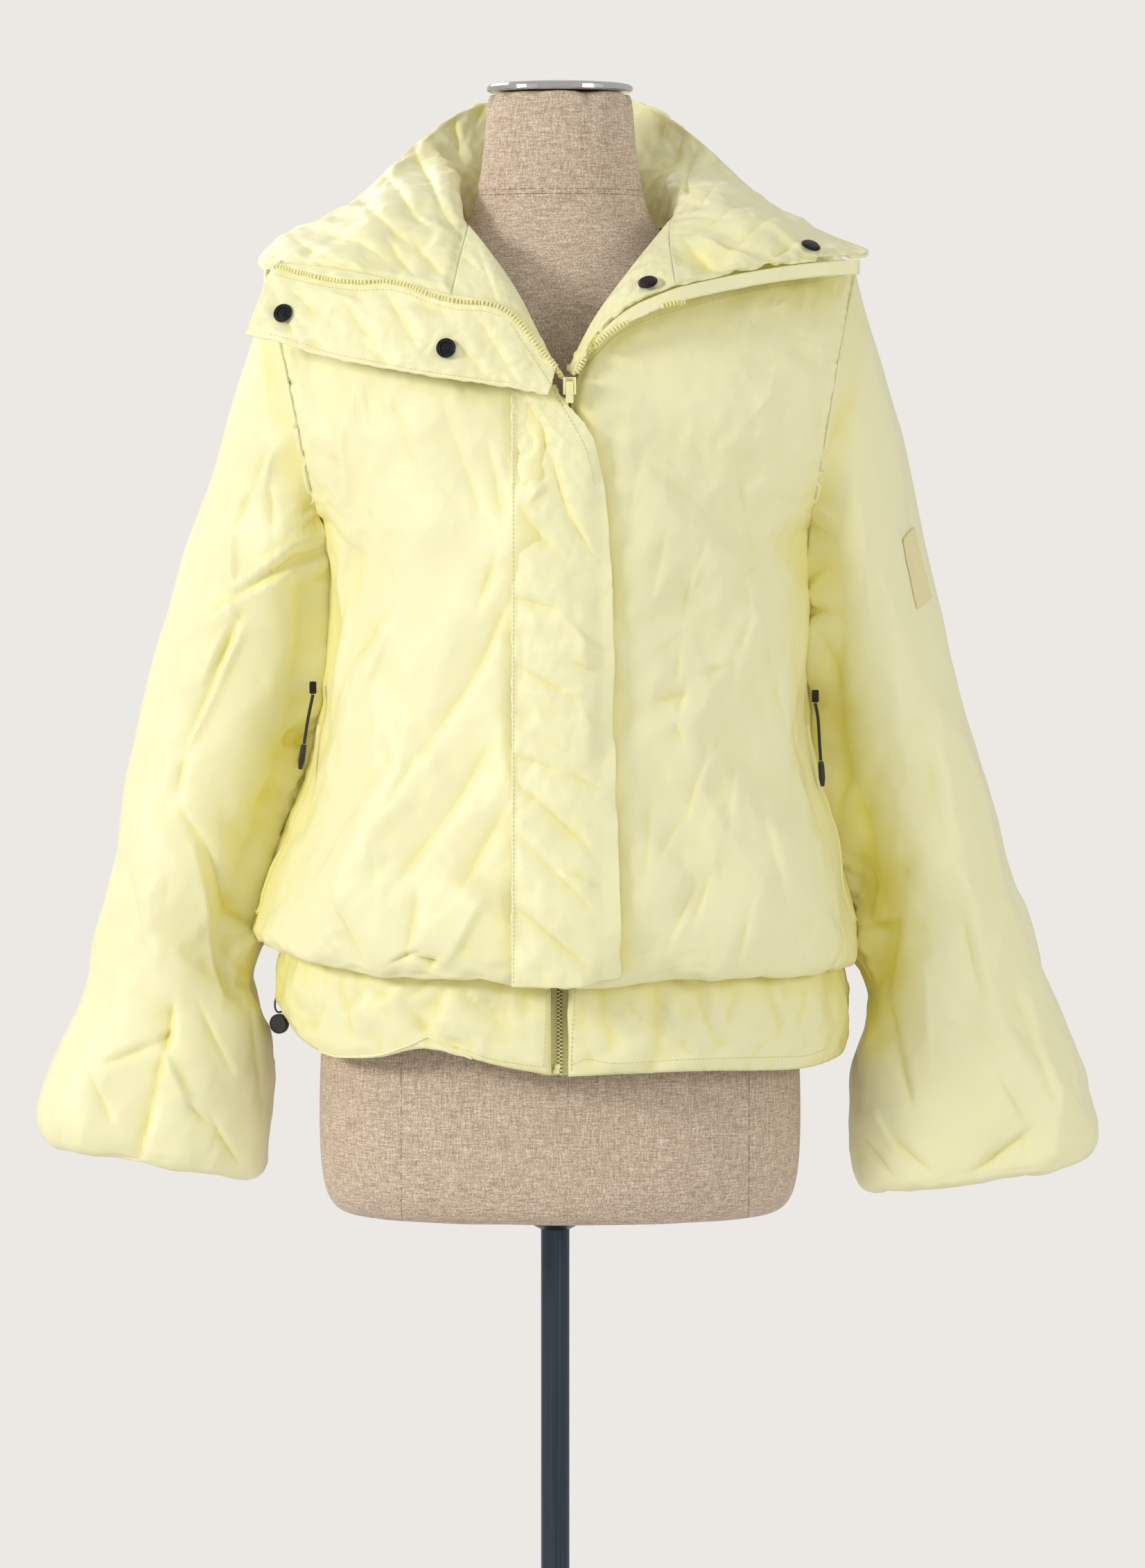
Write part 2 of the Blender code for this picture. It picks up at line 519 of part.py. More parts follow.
def lapel(side, along, across):
    """Face of a turned-back facing: along up from the slider, across from roll to zip."""
    along, across = np.broadcast_arrays(np.asarray(along, float), np.asarray(across, float))
    row = through(LAPEL[side], along)
    roll = row[..., 0:3]
    edge = row[..., 3:6]
    rise = np.array([0, -0.55, 0.83]) * row[..., 6:7]
    return bezier(roll, roll + (edge - roll) / 3 + rise, roll + (edge - roll) * 2 / 3 + rise,
                  edge, across)


def zip_edge_right():
    """Points of the right collar's and facing's cut edge, from the tip to the slider."""
    on_collar = collar(0.0, np.linspace(1, 0, COLLAR_ACROSS + 1))
    on_lapel = lapel(RIGHT, np.linspace(1, 0, LAPEL_STEPS + 1)[:-1], 1.0)
    return np.concatenate([on_collar, on_lapel])


def collar_flap(along, across):
    """Face of the storm flap's upper end: along from the tip, across down from the zip."""
    along, across = np.broadcast_arrays(np.asarray(along, float), np.asarray(across, float))
    top = through(zip_edge_right(), along) + (0, -FLAP_FORWARD, 0.0005)
    face = top + (through(FLAP_EDGE, along) - top) * across[..., None]
    face[..., 1] -= FLAP_LOFT * np.sin(pi * across)
    return face


def front_share(side, x, v):
    """The u at which a front's row v passes a given distance x from the middle."""
    yoke = np.clip((v - ARM_SHARE) / (1 - ARM_SHARE), 0, 1)
    spread = radians(90) - radians(48) * blend(0, 0.45, yoke)
    inner = np.abs(front(side, 0.0, v)[..., 0])
    outer = np.abs(front(side, 1.0, v)[..., 0])
    across = np.clip((x - inner) / (outer - inner), 0, 1) ** (1 / SQUARENESS)
    return np.arcsin(across * np.sin(spread)) / spread


def chest(x, v):
    """Outer face of the fronts at a distance x from the middle, on row v."""
    x, v = np.broadcast_arrays(np.asarray(x, float), np.asarray(v, float))
    right = front(RIGHT, front_share(RIGHT, -x, v), v)
    left = front(LEFT, front_share(LEFT, x, v), v)
    point = np.where((x < 0)[..., None], right, left)
    inside = np.abs(x) < ZIP_HALF
    point[..., 0] = np.where(inside, x, point[..., 0])
    return point


def row_at_height(z):
    """The v of the fronts' rows whose middle lies at height z, above the curl."""
    rows = np.linspace(3 / 10 * ARM_SHARE, ARM_SHARE + (1 - ARM_SHARE) * 4 / 9, 200)
    heights = front(LEFT, 0.0, rows)[..., 2]
    return np.interp(z, heights, rows)


def placket(across, down):
    """Face of the placket: across from its seam to its free edge, down from the top."""
    across, down = np.broadcast_arrays(np.asarray(across, float), np.asarray(down, float))
    edge = through(PLACKET_EDGE, down)
    z = edge[..., 0]
    x = PLACKET_SEAM_X + (edge[..., 1] - PLACKET_SEAM_X) * across
    straight_z = BODY[3][0]
    face = chest(x, row_at_height(np.maximum(z, straight_z)))
    peak = PLACKET_LOFT - PLACKET_FLATTER * blend(PLACKET_FULL_Z, PLACKET_EDGE[1][0], z)
    loft = PLACKET_EDGE_LOFT + (peak - PLACKET_EDGE_LOFT) * blend(0, 0.35, across)
    face[..., 0] = x
    face[..., 1] -= loft
    face[..., 2] = z
    return face


# ---- cloth walls --------------------------------------------------------------------
class Wall:
    """A piece of cloth: a grid of points on its outer face, with a normal at each."""

    def __init__(self, name, points, thickness, material_name, facing, closed=False):
        self.name = name
        self.points = np.array(points, float)
        self.thickness = thickness
        self.material_name = material_name
        self.closed = closed
        self.normals = self.find_normals(np.array(facing, float))
        self.shift = np.zeros_like(self.points)
        self.leads = False      # whether its own direction decides at a shared seam

    def find_normals(self, facing):
        """Normals of the grid, turned to the side that facing points to."""
        if self.closed:
            ring = np.concatenate([self.points[-1:], self.points, self.points[:1]])
            around = (ring[2:] - ring[:-2])
        else:
            around = np.gradient(self.points, axis=0)
        along = np.gradient(self.points, axis=1)
        normals = unit(np.cross(around, along))
        if facing.ndim == 1 and facing.size == 3:
            facing = np.broadcast_to(facing, normals.shape)
        if np.sum(normals * facing) < 0:
            normals = -normals
        for _ in range(NORMAL_PASSES):
            normals = self.even(normals)
        return normals

    def even(self, normals):
        """Each normal averaged with its neighbours'."""
        if self.closed:
            total = np.roll(normals, 1, axis=0) + np.roll(normals, -1, axis=0)
        else:
            total = np.zeros_like(normals)
            total[1:] += normals[:-1]
            total[:-1] += normals[1:]
        total[:, 1:] += normals[:, :-1]
        total[:, :-1] += normals[:, 1:]
        return unit(normals * 2 + total)

    def fold(self, folds):
        """Press soft troughs, or raise ridges, along the lines of a table."""
        for x0, z0, x1, z1, half_width, depth, face in folds:
            flat = self.points[..., [0, 2]]
            line = np.array([x1 - x0, z1 - z0])
            share = np.clip(((flat - (x0, z0)) @ line) / (line @ line), 0, 1)
            distance = np.linalg.norm(flat - (np.array([x0, z0]) + share[..., None] * line),
                                      axis=-1)
            on_face = blend(0.1, 0.5, face * self.normals[..., 1])
            press = depth * np.exp(-(distance / half_width) ** 2) * on_face
            press[:, 0] = 0
            press[:, -1] = 0
            if not self.closed:
                press[0] = 0
                press[-1] = 0
            self.points -= self.normals * press[..., None]

    def into_piece(self):
        """Unit steps from each edge point towards the inside of the piece."""
        step = np.zeros_like(self.points)
        if not self.closed:
            step[0] += unit(self.points[1] - self.points[0])
            step[-1] += unit(self.points[-2] - self.points[-1])
        step[:, 0] += unit(self.points[:, 1] - self.points[:, 0])
        step[:, -1] += unit(self.points[:, -2] - self.points[:, -1])
        return step

    def build(self):
        """The closed solid, as an object."""
        count, rows = self.points.shape[:2]
        outer = self.points + self.shift
        thickness = np.broadcast_to(self.thickness, (count, rows))[..., None]
        inner = outer - self.normals * thickness
        mesh = bmesh.new()
        top = [[mesh.verts.new(outer[i, j]) for j in range(rows)] for i in range(count)]
        low = [[mesh.verts.new(inner[i, j]) for j in range(rows)] for i in range(count)]
        spans = count if self.closed else count - 1
        for i in range(spans):
            k = (i + 1) % count
            for j in range(rows - 1):
                corners = [(i, j), (k, j), (k, j + 1), (i, j + 1)]
                one = np.linalg.norm(outer[i, j] - outer[k, j + 1])
                other = np.linalg.norm(outer[k, j] - outer[i, j + 1])
                if other < one:
                    corners = corners[1:] + corners[:1]
                for half in (corners[:3], [corners[0]] + corners[2:]):
                    mesh.faces.new([top[a][b] for a, b in half])
                    mesh.faces.new([low[a][b] for a, b in reversed(half)])
            for j in (0, rows - 1):
                mesh.faces.new((top[i][j], low[i][j], low[k][j], top[k][j]))
        if not self.closed:
            for i in (0, count - 1):
                for j in range(rows - 1):
                    mesh.faces.new((top[i][j], top[i][j + 1], low[i][j + 1], low[i][j]))
        return finish_mesh(mesh, self.name, self.material_name)


def share_seams(walls):
    """Where pieces share an edge point, they share a thickness direction and draw back.

    The direction is halfway between the pieces, or a leading piece's own. In a sharp
    valley, where normals cancel out, the steps into the pieces decide it. Each piece
    draws back along its own face, and inwards, so that folded edges part too.
    """
    meeting = {}
    for wall in walls:
        steps = wall.into_piece()
        for i, j in zip(*np.nonzero(np.linalg.norm(steps, axis=-1))):
            key = tuple(np.round(wall.points[i, j], 6))
            meeting.setdefault(key, []).append((wall, i, j, unit(steps[i, j])))
    for members in meeting.values():
        if len({wall.name for wall, *_ in members}) < 2:
            continue
        total = sum(wall.normals[i, j] + VALLEY_WEIGHT * step for wall, i, j, step in members)
        leading = [wall.normals[i, j] for wall, i, j, _ in members if wall.leads]
        shared = leading[0] if leading else unit(total)
        for wall, i, j, step in members:
            own = wall.own_edge[i] if wall.leads else wall.normals[i, j]
            wall.shift[i, j] = (step - own) * DRAW_BACK
            wall.normals[i, j] = shared


def finish_mesh(mesh, name, material_name, smooth=True):
    """Turn a bmesh into a linked object with one material, its faces pointing out."""
    bmesh.ops.recalc_face_normals(mesh, faces=mesh.faces)
    data = bpy.data.meshes.new(name)
    mesh.to_mesh(data)
    mesh.free()
    if smooth:
        data.shade_smooth()
    made = bpy.data.objects.new(name, data)
    bpy.context.collection.objects.link(made)
    made.data.materials.append(material(material_name))
    return made


def grid(columns, rows):
    """Shares of a grid with that many points each way."""
    return np.meshgrid(columns, rows, indexing="ij")


# ---- the garment --------------------------------------------------------------------
def body_panels():
    """The two fronts, the back and the two sleeves, which share their seams' points."""
    rows = np.concatenate([np.linspace(0, ARM_SHARE, BODY_ROWS + 1),
                           np.linspace(ARM_SHARE, 1, YOKE_ROWS + 1)[1:]])
    columns = np.linspace(0, 1, PANEL_COLUMNS + 1)
    neck = np.linspace(0, NECK_SHARE, NECK_COLUMNS + 1)
    half = np.concatenate([neck, NECK_SHARE + (1 - NECK_SHARE) * columns[1:]])
    back_columns = np.concatenate([-half[::-1], half[1:]])
    walls = {}
    for side, name in ((RIGHT, "front_right"), (LEFT, "front_left")):
        walls[name] = Wall(name, front(side, *grid(columns, rows)), WALL, "cloth", (0, -1, 0))
    walls["back"] = Wall("back", back(*grid(back_columns, rows)), WALL, "cloth", (0, 1, 0))
    around = np.arange(2 * YOKE_ROWS) / (2 * YOKE_ROWS)
    along = np.linspace(0, 1, SLEEVE_STEPS + 1)
    for side, name in ((RIGHT, "sleeve_right"), (LEFT, "sleeve_left")):
        points = sleeve(side, *grid(around, along))
        middle = points.mean(axis=0, keepdims=True)
        arm = Wall(name, points, WALL, "cloth", points - middle, closed=True)
        arm.leads = True
        arm.own_edge = arm.normals[:, 0].copy()
        arm.normals[:, 0] = unit((points - middle)[:, 0] * (0, 1, 1))
        walls[name] = arm
    for name, folds in FOLDS.items():
        walls[name].fold(folds)
    return walls


def hem_z(points):
    """The hem's height under points of the band's upper seam."""
    x = points[..., 0]
    front_z = np.interp(x, [row[0] for row in HEM_FRONT], [row[1] for row in HEM_FRONT])
    side = blend(0.80, 1.0, np.abs(x) / 0.20)
    side_z = np.where(x < 0, HEM_SIDE_Z[RIGHT], HEM_SIDE_Z[LEFT])
    back_z = HEM_BACK_Z + (side_z - HEM_BACK_Z) * side
    return np.where(points[..., 1] < 0, front_z, back_z)


def band_face(seam, down):
    """Outer face of the hem band below points of its seam, at a share of its height."""
    taper = np.where(seam[..., 0:1] < 0, BAND_TAPER[RIGHT], BAND_TAPER[LEFT])
    taper = taper + BAND_FLARE * blend(0.88, 0.98, -seam[..., 0:1] / 0.20)
    wide = 1 + (taper - 1) * blend(0.30, 1.0, down)[..., None]
    deep = 1 + (BAND_TAPER_DEPTH - 1) * down[..., None]
    outwards = unit(seam * (1, 1, 0))
    face = seam * np.concatenate([wide, deep, np.ones_like(wide)], axis=-1)
    face += outwards * (BAND_BULGE * np.sin(pi * np.minimum(down * 1.15, 1)))[..., None]
    face[..., 2] = seam[..., 2] + (hem_z(seam) - seam[..., 2]) * down
    return face


def hem_band(panels):
    """The band in three pieces, hung from the points of the body's lowest row."""
    walls = []
    down = np.linspace(0, 1, BAND_STEPS + 1)
    for source, name in (("front_right", "hem_band_right"), ("front_left", "hem_band_left"),
                         ("back", "hem_band_back")):
        seam = panels[source].points[:, 0]
        across = np.broadcast_to(seam[:, None], (len(seam), len(down), 3))
        face = band_face(across, np.broadcast_to(down, across.shape[:2]))
        walls.append(Wall(name, face, WALL, "cloth", face * (1, 1, 0)))
    return walls


def collar_walls():
    """The collar and the two facings, which share the seams between them."""
    steps = COLLAR_PER_ROW * (len(COLLAR) - 1)
    points = collar(*grid(np.linspace(0, 1, steps + 1), np.linspace(0, 1, COLLAR_ACROSS + 1)))
    walls = [Wall("collar", points, COLLAR_WALL, "lining", (0, -0.3, 1))]
    seam_steps = COLLAR_PER_ROW * COLLAR_TO_SEAM
    seams = {RIGHT: points[:seam_steps + 1, 0][::-1], LEFT: points[steps - seam_steps:, 0]}
    along = np.linspace(0, 1, LAPEL_STEPS + 1)
    across = np.linspace(0, 1, seam_steps + 1)
    for side, name in ((RIGHT, "lapel_right"), (LEFT, "lapel_left")):
        face = lapel(side, *grid(along, across))
        face = np.concatenate([face, seams[side][None]])
        walls.append(Wall(name, face, COLLAR_WALL * 0.8, "lining", (0, -0.6, 0.6)))
    return walls


def flap_and_placket():
    """The storm flap: its turned-back upper end and the placket below it."""
    columns = np.linspace(0, 1, len(zip_edge_right()))
    face = collar_flap(*grid(columns, np.linspace(0, 1, 5)))
    flap = Wall("collar_flap", face, STRIP_WALL, "cloth", (0, -1, 0.2))
    across, down = grid(np.linspace(0, 1, 6), np.linspace(0, 1, PLACKET_STEPS + 1))
    face = placket(across, down)
    thick = 0.0018 + 0.0022 * blend(0, 0.35, across)
    return [flap, Wall("placket", face, thick, "cloth", (0, -1, 0))]


def edge_strip(collar_wall, lapel_wall):
    """The stitched strip that hangs from the left facing's and collar's front edge."""
    lapel_edge = lapel_wall.points[2:-1, -1]
    collar_edge = collar_wall.points[-1]
    top = np.concatenate([lapel_edge, collar_edge]) + (0, -0.0026, -0.0004)
    share = np.linspace(0, 1, len(top))[:, None]
    fall = np.array([0, -0.0015, -0.0070]) + np.array([0, 0.0, -0.0030]) * blend(0, 0.3, share)
    face = top[:, None] + np.linspace(0, 1, 3)[None, :, None] * fall[:, None]
    face = face - (0, 0, COLLAR_WALL * 0.9)
    return Wall("edge_strip_left", face, STRIP_WALL, "cloth", (0, -1, -0.2))


def zip_tapes():
    """The two zip tapes, from the hem up to the slider, behind the fronts' edges."""
    walls = []
    body_v = np.linspace(0, ARM_SHARE + (1 - ARM_SHARE) * 4 / 9, 19)[1:]
    edge = front(LEFT, 0.0, body_v)
    seam = front(LEFT, 0.0, 0.0)
    keep = (edge[:, 2] > TAPE_FROM_Z) & (edge[:, 2] < SLIDER_AT[2])
    band_down = np.linspace(1, 0.05, 4)
    band = band_face(np.broadcast_to(seam, (4, 3)), band_down)
    rise = edge[keep]
    rise[:, 1] += 0.0060 + 0.0390 * (1 - blend(0.87, 0.97, rise[:, 2]))
    band[:, 1] += 0.0044 + 0.0060 * (1 - band_down)
    path = np.concatenate([band + (0, 0, 0.0006), rise])
    for side, name in ((RIGHT, "zip_tape_right"), (LEFT, "zip_tape_left")):
        inner = path.copy()
        outer = path.copy()
        inner[:, 0] = side * ZIP_TAPE_IN
        outer[:, 0] = side * ZIP_TAPE_OUT
        face = np.stack([inner, outer])
        walls.append(Wall(name, face, TAPE_WALL, "tape", (0, -1, 0)))
    return walls


def on_face(points, normals, lift):
    """Points of a strip that lies on a panel, moved out."""
    return points + normals * lift


WELT_LIFT = 0.0042
WELT_WALL = 0.0020


def pocket_welts():
    """A narrow zipped welt on each front, beside the side seam."""
    walls = []
    for side, name in ((RIGHT, "pocket_welt_right"), (LEFT, "pocket_welt_left")):
        v, u = grid(np.linspace(0.205, 0.395, 9), np.array([0.900, 0.925]))
        panel = Wall("panel", front(side, u, v), WALL, "cloth", (0, -1, 0))
        face = on_face(panel.points, panel.normals, WELT_LIFT)
        walls.append(Wall(name, face, WELT_WALL, "cloth", (0, -1, 0)))
    return walls


def sleeve_patch():
    """A bare badge on the left sleeve's outer front."""
    around, along = grid(np.linspace(0.375, 0.435, 4), np.linspace(0.148, 0.199, 4))
    panel = Wall("panel", sleeve(LEFT, around, along), WALL, "cloth", (1, -1, 0))
    return Wall("sleeve_patch", on_face(panel.points, panel.normals, 0.0032), 0.0012, "cloth",
                (1, -1, 0))


# ---- hard parts ---------------------------------------------------------------------
def turned(name, profile, sides, material_name, place=None):
    """A solid turned about Z from a profile of (radius, z) that starts and ends at r 0."""
    mesh = bmesh.new()
    rings = []
    for radius, z in profile:
        if radius == 0:
            rings.append([mesh.verts.new((0, 0, z))])
        else:
            rings.append([mesh.verts.new((radius * cos(2 * pi * k / sides),
                                          radius * sin(2 * pi * k / sides), z))
                          for k in range(sides)])
    for low, high in zip(rings, rings[1:]):
        for k in range(sides):
            m = (k + 1) % sides
            corners = [low[k % len(low)], low[m % len(low)], high[m % len(high)],
                       high[k % len(high)]]
            mesh.faces.new(list(dict.fromkeys(corners)))
    if place is not None:
        mesh.transform(place)
    made = finish_mesh(mesh, name, material_name)
    made.data.set_sharp_from_angle(angle=radians(35))
    return made


def facing_place(point, normal):
    """The transform that stands a turned part's +Z on a point, along a normal."""
    turn = Vector(normal).to_track_quat("Z", "Y").to_matrix().to_4x4()
    return Matrix.Translation(Vector(point)) @ turn


SNAP_RADIUS = 0.0070
SNAP_SOCKET_PROFILE = ((0, 0), (SNAP_RADIUS, 0), (SNAP_RADIUS, 0.0012), (0.0060, 0.0020),
                       (0.0042, 0.0020), (0.0036, 0.0010), (0, 0.0010))
CAP_TILT = (1, 0.70, 1)     # the caps lie flatter than the cloth round them
SNAP_CAP_PROFILE = ((0, 0), (SNAP_RADIUS, 0), (SNAP_RADIUS, 0.0009), (0.0055, 0.0019),
                    (0, 0.0023))


def surface_frame(face, a, b, up):
    """Point and normal of a surface function at (a, b), facing up."""
    step = 0.01
    point = face(a, b)
    normal = np.cross(face(a + step, b) - point, face(a, b + step) - point)
    normal = unit(normal)
    if normal @ np.array(up, float) < 0:
        normal = -normal
    return point, normal


def snaps():
    """Two sockets on the flap and two caps on the left collar and facing."""
    sockets = (("snap_socket_outer", 0.090, 0.66), ("snap_socket_inner", 0.583, 0.65))
    for name, along, across in sockets:
        point, normal = surface_frame(collar_flap, along, across, (0, -1, 0))
        turned(name, SNAP_SOCKET_PROFILE, 20, "black_metal",
               facing_place(point + normal * 0.0007, normal))
    caps = (("snap_cap_inner", lambda a, b: lapel(LEFT, a, b), 0.858, 0.86),
            ("snap_cap_outer", collar, 0.962, 0.70))
    for name, face, along, across in caps:
        point, normal = surface_frame(face, along, across, (0, -0.3, 1))
        tilted = unit(normal * CAP_TILT)
        turned(name, SNAP_CAP_PROFILE, 20, "black_metal",
               facing_place(point + normal * 0.0020, tilted))


def block(name, size, place, material_name, bevel=0.0004):
    """A box with bevelled edges, centred on place."""
    mesh = bmesh.new()
    bmesh.ops.create_cube(mesh, size=1)
    bmesh.ops.scale(mesh, vec=size, verts=mesh.verts)
    bmesh.ops.bevel(mesh, geom=mesh.edges, offset=bevel, segments=1, affect="EDGES")
    bmesh.ops.translate(mesh, vec=place, verts=mesh.verts)
    return finish_mesh(mesh, name, material_name, smooth=False)


SLIDER_HEIGHT = 0.0120
SLIDER_HALF = 0.0045
SLIDER_BACK = 0.0022
SLIDER_FRONT = -0.0022
CHEEK_FRONT = -0.0054       # the cheeks that the pull's pin runs between
CHEEK_IN = 0.00305
PULL_SIZE = (0.0055, 0.0014, 0.0150)
PULL_HINGE = (0.0070, -0.1593, 1.3010)


def zip_slider():
    """The slider, which stays where it is, and its pull tab, which swings on it."""
    outline = ((-SLIDER_HALF, SLIDER_BACK), (-SLIDER_HALF, CHEEK_FRONT),
               (-CHEEK_IN, CHEEK_FRONT), (-CHEEK_IN, SLIDER_FRONT), (CHEEK_IN, SLIDER_FRONT),
               (CHEEK_IN, CHEEK_FRONT), (SLIDER_HALF, CHEEK_FRONT), (SLIDER_HALF, SLIDER_BACK))
    mesh = bmesh.new()
    floor = mesh.faces.new([mesh.verts.new((x, y, -SLIDER_HEIGHT / 2)) for x, y in outline])
    raised = bmesh.ops.extrude_face_region(mesh, geom=[floor])
    corners = [item for item in raised["geom"] if isinstance(item, bmesh.types.BMVert)]
    bmesh.ops.translate(mesh, vec=(0, 0, SLIDER_HEIGHT), verts=corners)
    bmesh.ops.translate(mesh, vec=SLIDER_AT, verts=mesh.verts)
    finish_mesh(mesh, "zip_slider", "zip_plastic", smooth=False)
    pull = block("zip_pull", PULL_SIZE, (0, 0, -PULL_SIZE[2] / 2 + 0.001), "zip_plastic")
    pull.location = PULL_HINGE


def tube(name, route, radius, material_name, points, sides=8):
    """A cord along the smooth curve through its route."""
    path = through(route, np.linspace(0, 1, points))
    ways = unit(np.gradient(path, axis=0))
    side_way = unit(np.cross(ways[0], (0.3, 1, 0.2)))
    mesh = bmesh.new()
    rings = []
    for place, way in zip(path, ways):
        side_way = unit(side_way - way * (side_way @ way))
        other = np.cross(way, side_way)
        rings.append([mesh.verts.new(place + radius * (side_way * cos(2 * pi * k / sides)
                                                       + other * sin(2 * pi * k / sides)))
                      for k in range(sides)])
    for low, high in zip(rings, rings[1:]):
        for k in range(sides):
            m = (k + 1) % sides
            mesh.faces.new((low[k], low[m], high[m], high[k]))
    mesh.faces.new(rings[0][::-1])
    mesh.faces.new(rings[-1])
    return finish_mesh(mesh, name, material_name)


CORD_RADIUS = 0.0012
# The pull cords of the pocket zips: from the welt's top down to the moulded tips.
POCKET_CORD = {
    RIGHT: ((-0.1765, -0.0400, 1.0800), (-0.1782, -0.0412, 1.0720), (-0.1798, -0.0420, 1.0640),
            (-0.1812, -0.0425, 1.0555), (-0.1828, -0.0428, 1.0450)),
    LEFT: ((0.1825, -0.0410, 1.0740), (0.1842, -0.0422, 1.0650), (0.1850, -0.0430, 1.0550),
           (0.1856, -0.0434, 1.0440), (0.1864, -0.0436, 1.0330)),
}
POCKET_SLIDER = (0.0050, 0.0042, 0.0090)
TIP_LENGTH = 0.018
TIP_PROFILE = ((0, 0), (0.0019, 0), (0.0023, 0.004), (0.0024, 0.012), (0.0014, TIP_LENGTH),
               (0, TIP_LENGTH))


def pocket_pulls():
    """A cord from each pocket zip, ending in a moulded tip."""
    for side, name in ((RIGHT, "right"), (LEFT, "left")):
        route = POCKET_CORD[side]
        tube("pocket_cord_" + name, route, CORD_RADIUS, "black_cord", points=14)
        x, y, z = route[0]
        block("pocket_slider_" + name, POCKET_SLIDER, (x, y, z + POCKET_SLIDER[2] / 2 + 0.0006),
              "black_metal", bevel=0.0008)
        end = np.array(route[-1])
        way = unit(end - np.array(route[-2]))
        turned("pocket_tip_" + name, TIP_PROFILE, 8, "black_plastic",
               facing_place(end + way * (GAP + 0.0001), way))


TOGGLE_AT = (-0.2020, -0.0210, 0.8425)
TOGGLE_RADIUS = 0.0072
TOGGLE_THICK = 0.0050
LOOP_RADIUS = 0.0007
# The loop's middle line: from the band's outer face, through the toggle's top, under the
# hem, and up the band's inner face.
TOGGLE_LOOP = (
    (-0.2026, -0.0203, 0.8660),
    (-0.2040, -0.0204, 0.8620),
    (-0.2050, -0.0206, 0.8580),
    (-0.2049, -0.0208, 0.8538),
    (-0.2037, -0.0210, 0.8514),
    (-0.2019, -0.0210, 0.8508),
    (-0.2000, -0.0208, 0.8513),
    (-0.1982, -0.0204, 0.8526),
    (-0.1968, -0.0200, 0.8550),
    (-0.1964, -0.0197, 0.8590),
    (-0.1964, -0.0195, 0.8650),
    (-0.1967, -0.0195, 0.8720),
    (-0.1978, -0.0195, 0.8780),
)


def hem_toggle():
    """A black disc toggle on a short elastic loop, hung at the wearer's right hip."""
    profile = ((0, -TOGGLE_THICK / 2), (0.0058, -TOGGLE_THICK / 2), (TOGGLE_RADIUS, -0.0012),
               (TOGGLE_RADIUS, 0.0012), (0.0058, TOGGLE_THICK / 2), (0, TOGGLE_THICK / 2))
    place = facing_place(TOGGLE_AT, (-0.35, -1, 0))
    turned("hem_toggle", profile, 18, "black_plastic", place)
    tube("hem_toggle_loop", TOGGLE_LOOP, LOOP_RADIUS, "black_cord", points=28)


# ---- the dress form and its stand ---------------------------------------------------
def dress_form():
    """The form: closed sections lofted from its flat bottom to its neck."""
    mesh = bmesh.new()
    rings = []
    for z, half, near, far, fullness in FORM:
        ring = []
        for k in range(FORM_SIDES):
            turn = 2 * pi * k / FORM_SIDES
            x = half * abs(cos(turn)) ** (2 / fullness) * (1 if cos(turn) >= 0 else -1)
            depth = far if sin(turn) > 0 else near
            y = depth * abs(sin(turn)) ** (2 / fullness) * (1 if sin(turn) >= 0 else -1)
            ring.append(mesh.verts.new((x, y, z)))
        rings.append(ring)
    for low, high in zip(rings, rings[1:]):
        for k in range(FORM_SIDES):
            m = (k + 1) % FORM_SIDES
            mesh.faces.new((low[k], low[m], high[m], high[k]))
    mesh.faces.new(rings[0][::-1])
    mesh.faces.new(rings[-1])
    return finish_mesh(mesh, "dress_form", "linen")


def stand():
    """The chrome neck cap, the pole and the plain round base."""
    cap = ((0, 0), (CAP_RADIUS - 0.002, 0), (CAP_RADIUS, 0.0012), (CAP_RADIUS, 0.0036),
           (CAP_RADIUS - 0.0014, 0.0052), (CAP_RADIUS - 0.006, 0.0062), (0, 0.0066))
    turned("neck_cap", cap, 40, "chrome", Matrix.Translation((0, CAP_Y, CAP_Z)))
    base_top = STAND_BASE_THICK
    base = ((0, 0), (STAND_BASE_RADIUS, 0), (STAND_BASE_RADIUS, base_top - 0.003),
            (STAND_BASE_RADIUS - 0.003, base_top), (0, base_top))
    place = Matrix.Translation((STAND_X, 0, 0))
    turned("stand_base", base, 48, "steel", place)
    foot = base_top + GAP
    head = FORM[0][0] - GAP
    pole = ((0, foot), (0.022, foot), (0.022, foot + 0.006), (0.016, foot + 0.018),
            (STAND_POLE_RADIUS, foot + 0.024), (STAND_POLE_RADIUS, head - 0.012),
            (0.018, head - 0.008), (0.018, head), (0, head))
    turned("stand_pole", pole, 24, "steel", place)


def main():
    for old in list(bpy.data.objects):
        bpy.data.objects.remove(old)
    panels = body_panels()
    collars = collar_walls()
    walls = list(panels.values()) + hem_band(panels) + collars
    share_seams(walls)
    walls += flap_and_placket() + zip_tapes() + pocket_welts()
    walls += [edge_strip(collars[0], collars[2]), sleeve_patch()]
    for wall in walls:
        wall.build()
    snaps()
    zip_slider()
    pocket_pulls()
    hem_toggle()
    dress_form()
    stand()


main()
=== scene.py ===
"""Looks of the padded blouson jacket on its dress form: cloth, sewing, zip and linen.

Metres, +Z up, the front faces -Y, as in the frame. Each cloth solid's outer side is
turned back into a quad cage, subdivided, buckled by a short cloth simulation, and creased
in mesh code.
"""
import bpy
import bmesh
import numpy as np
from math import cos, pi, radians, sin, tau
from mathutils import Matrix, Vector, noise
from mathutils.bvhtree import BVHTree
from mathutils.kdtree import KDTree

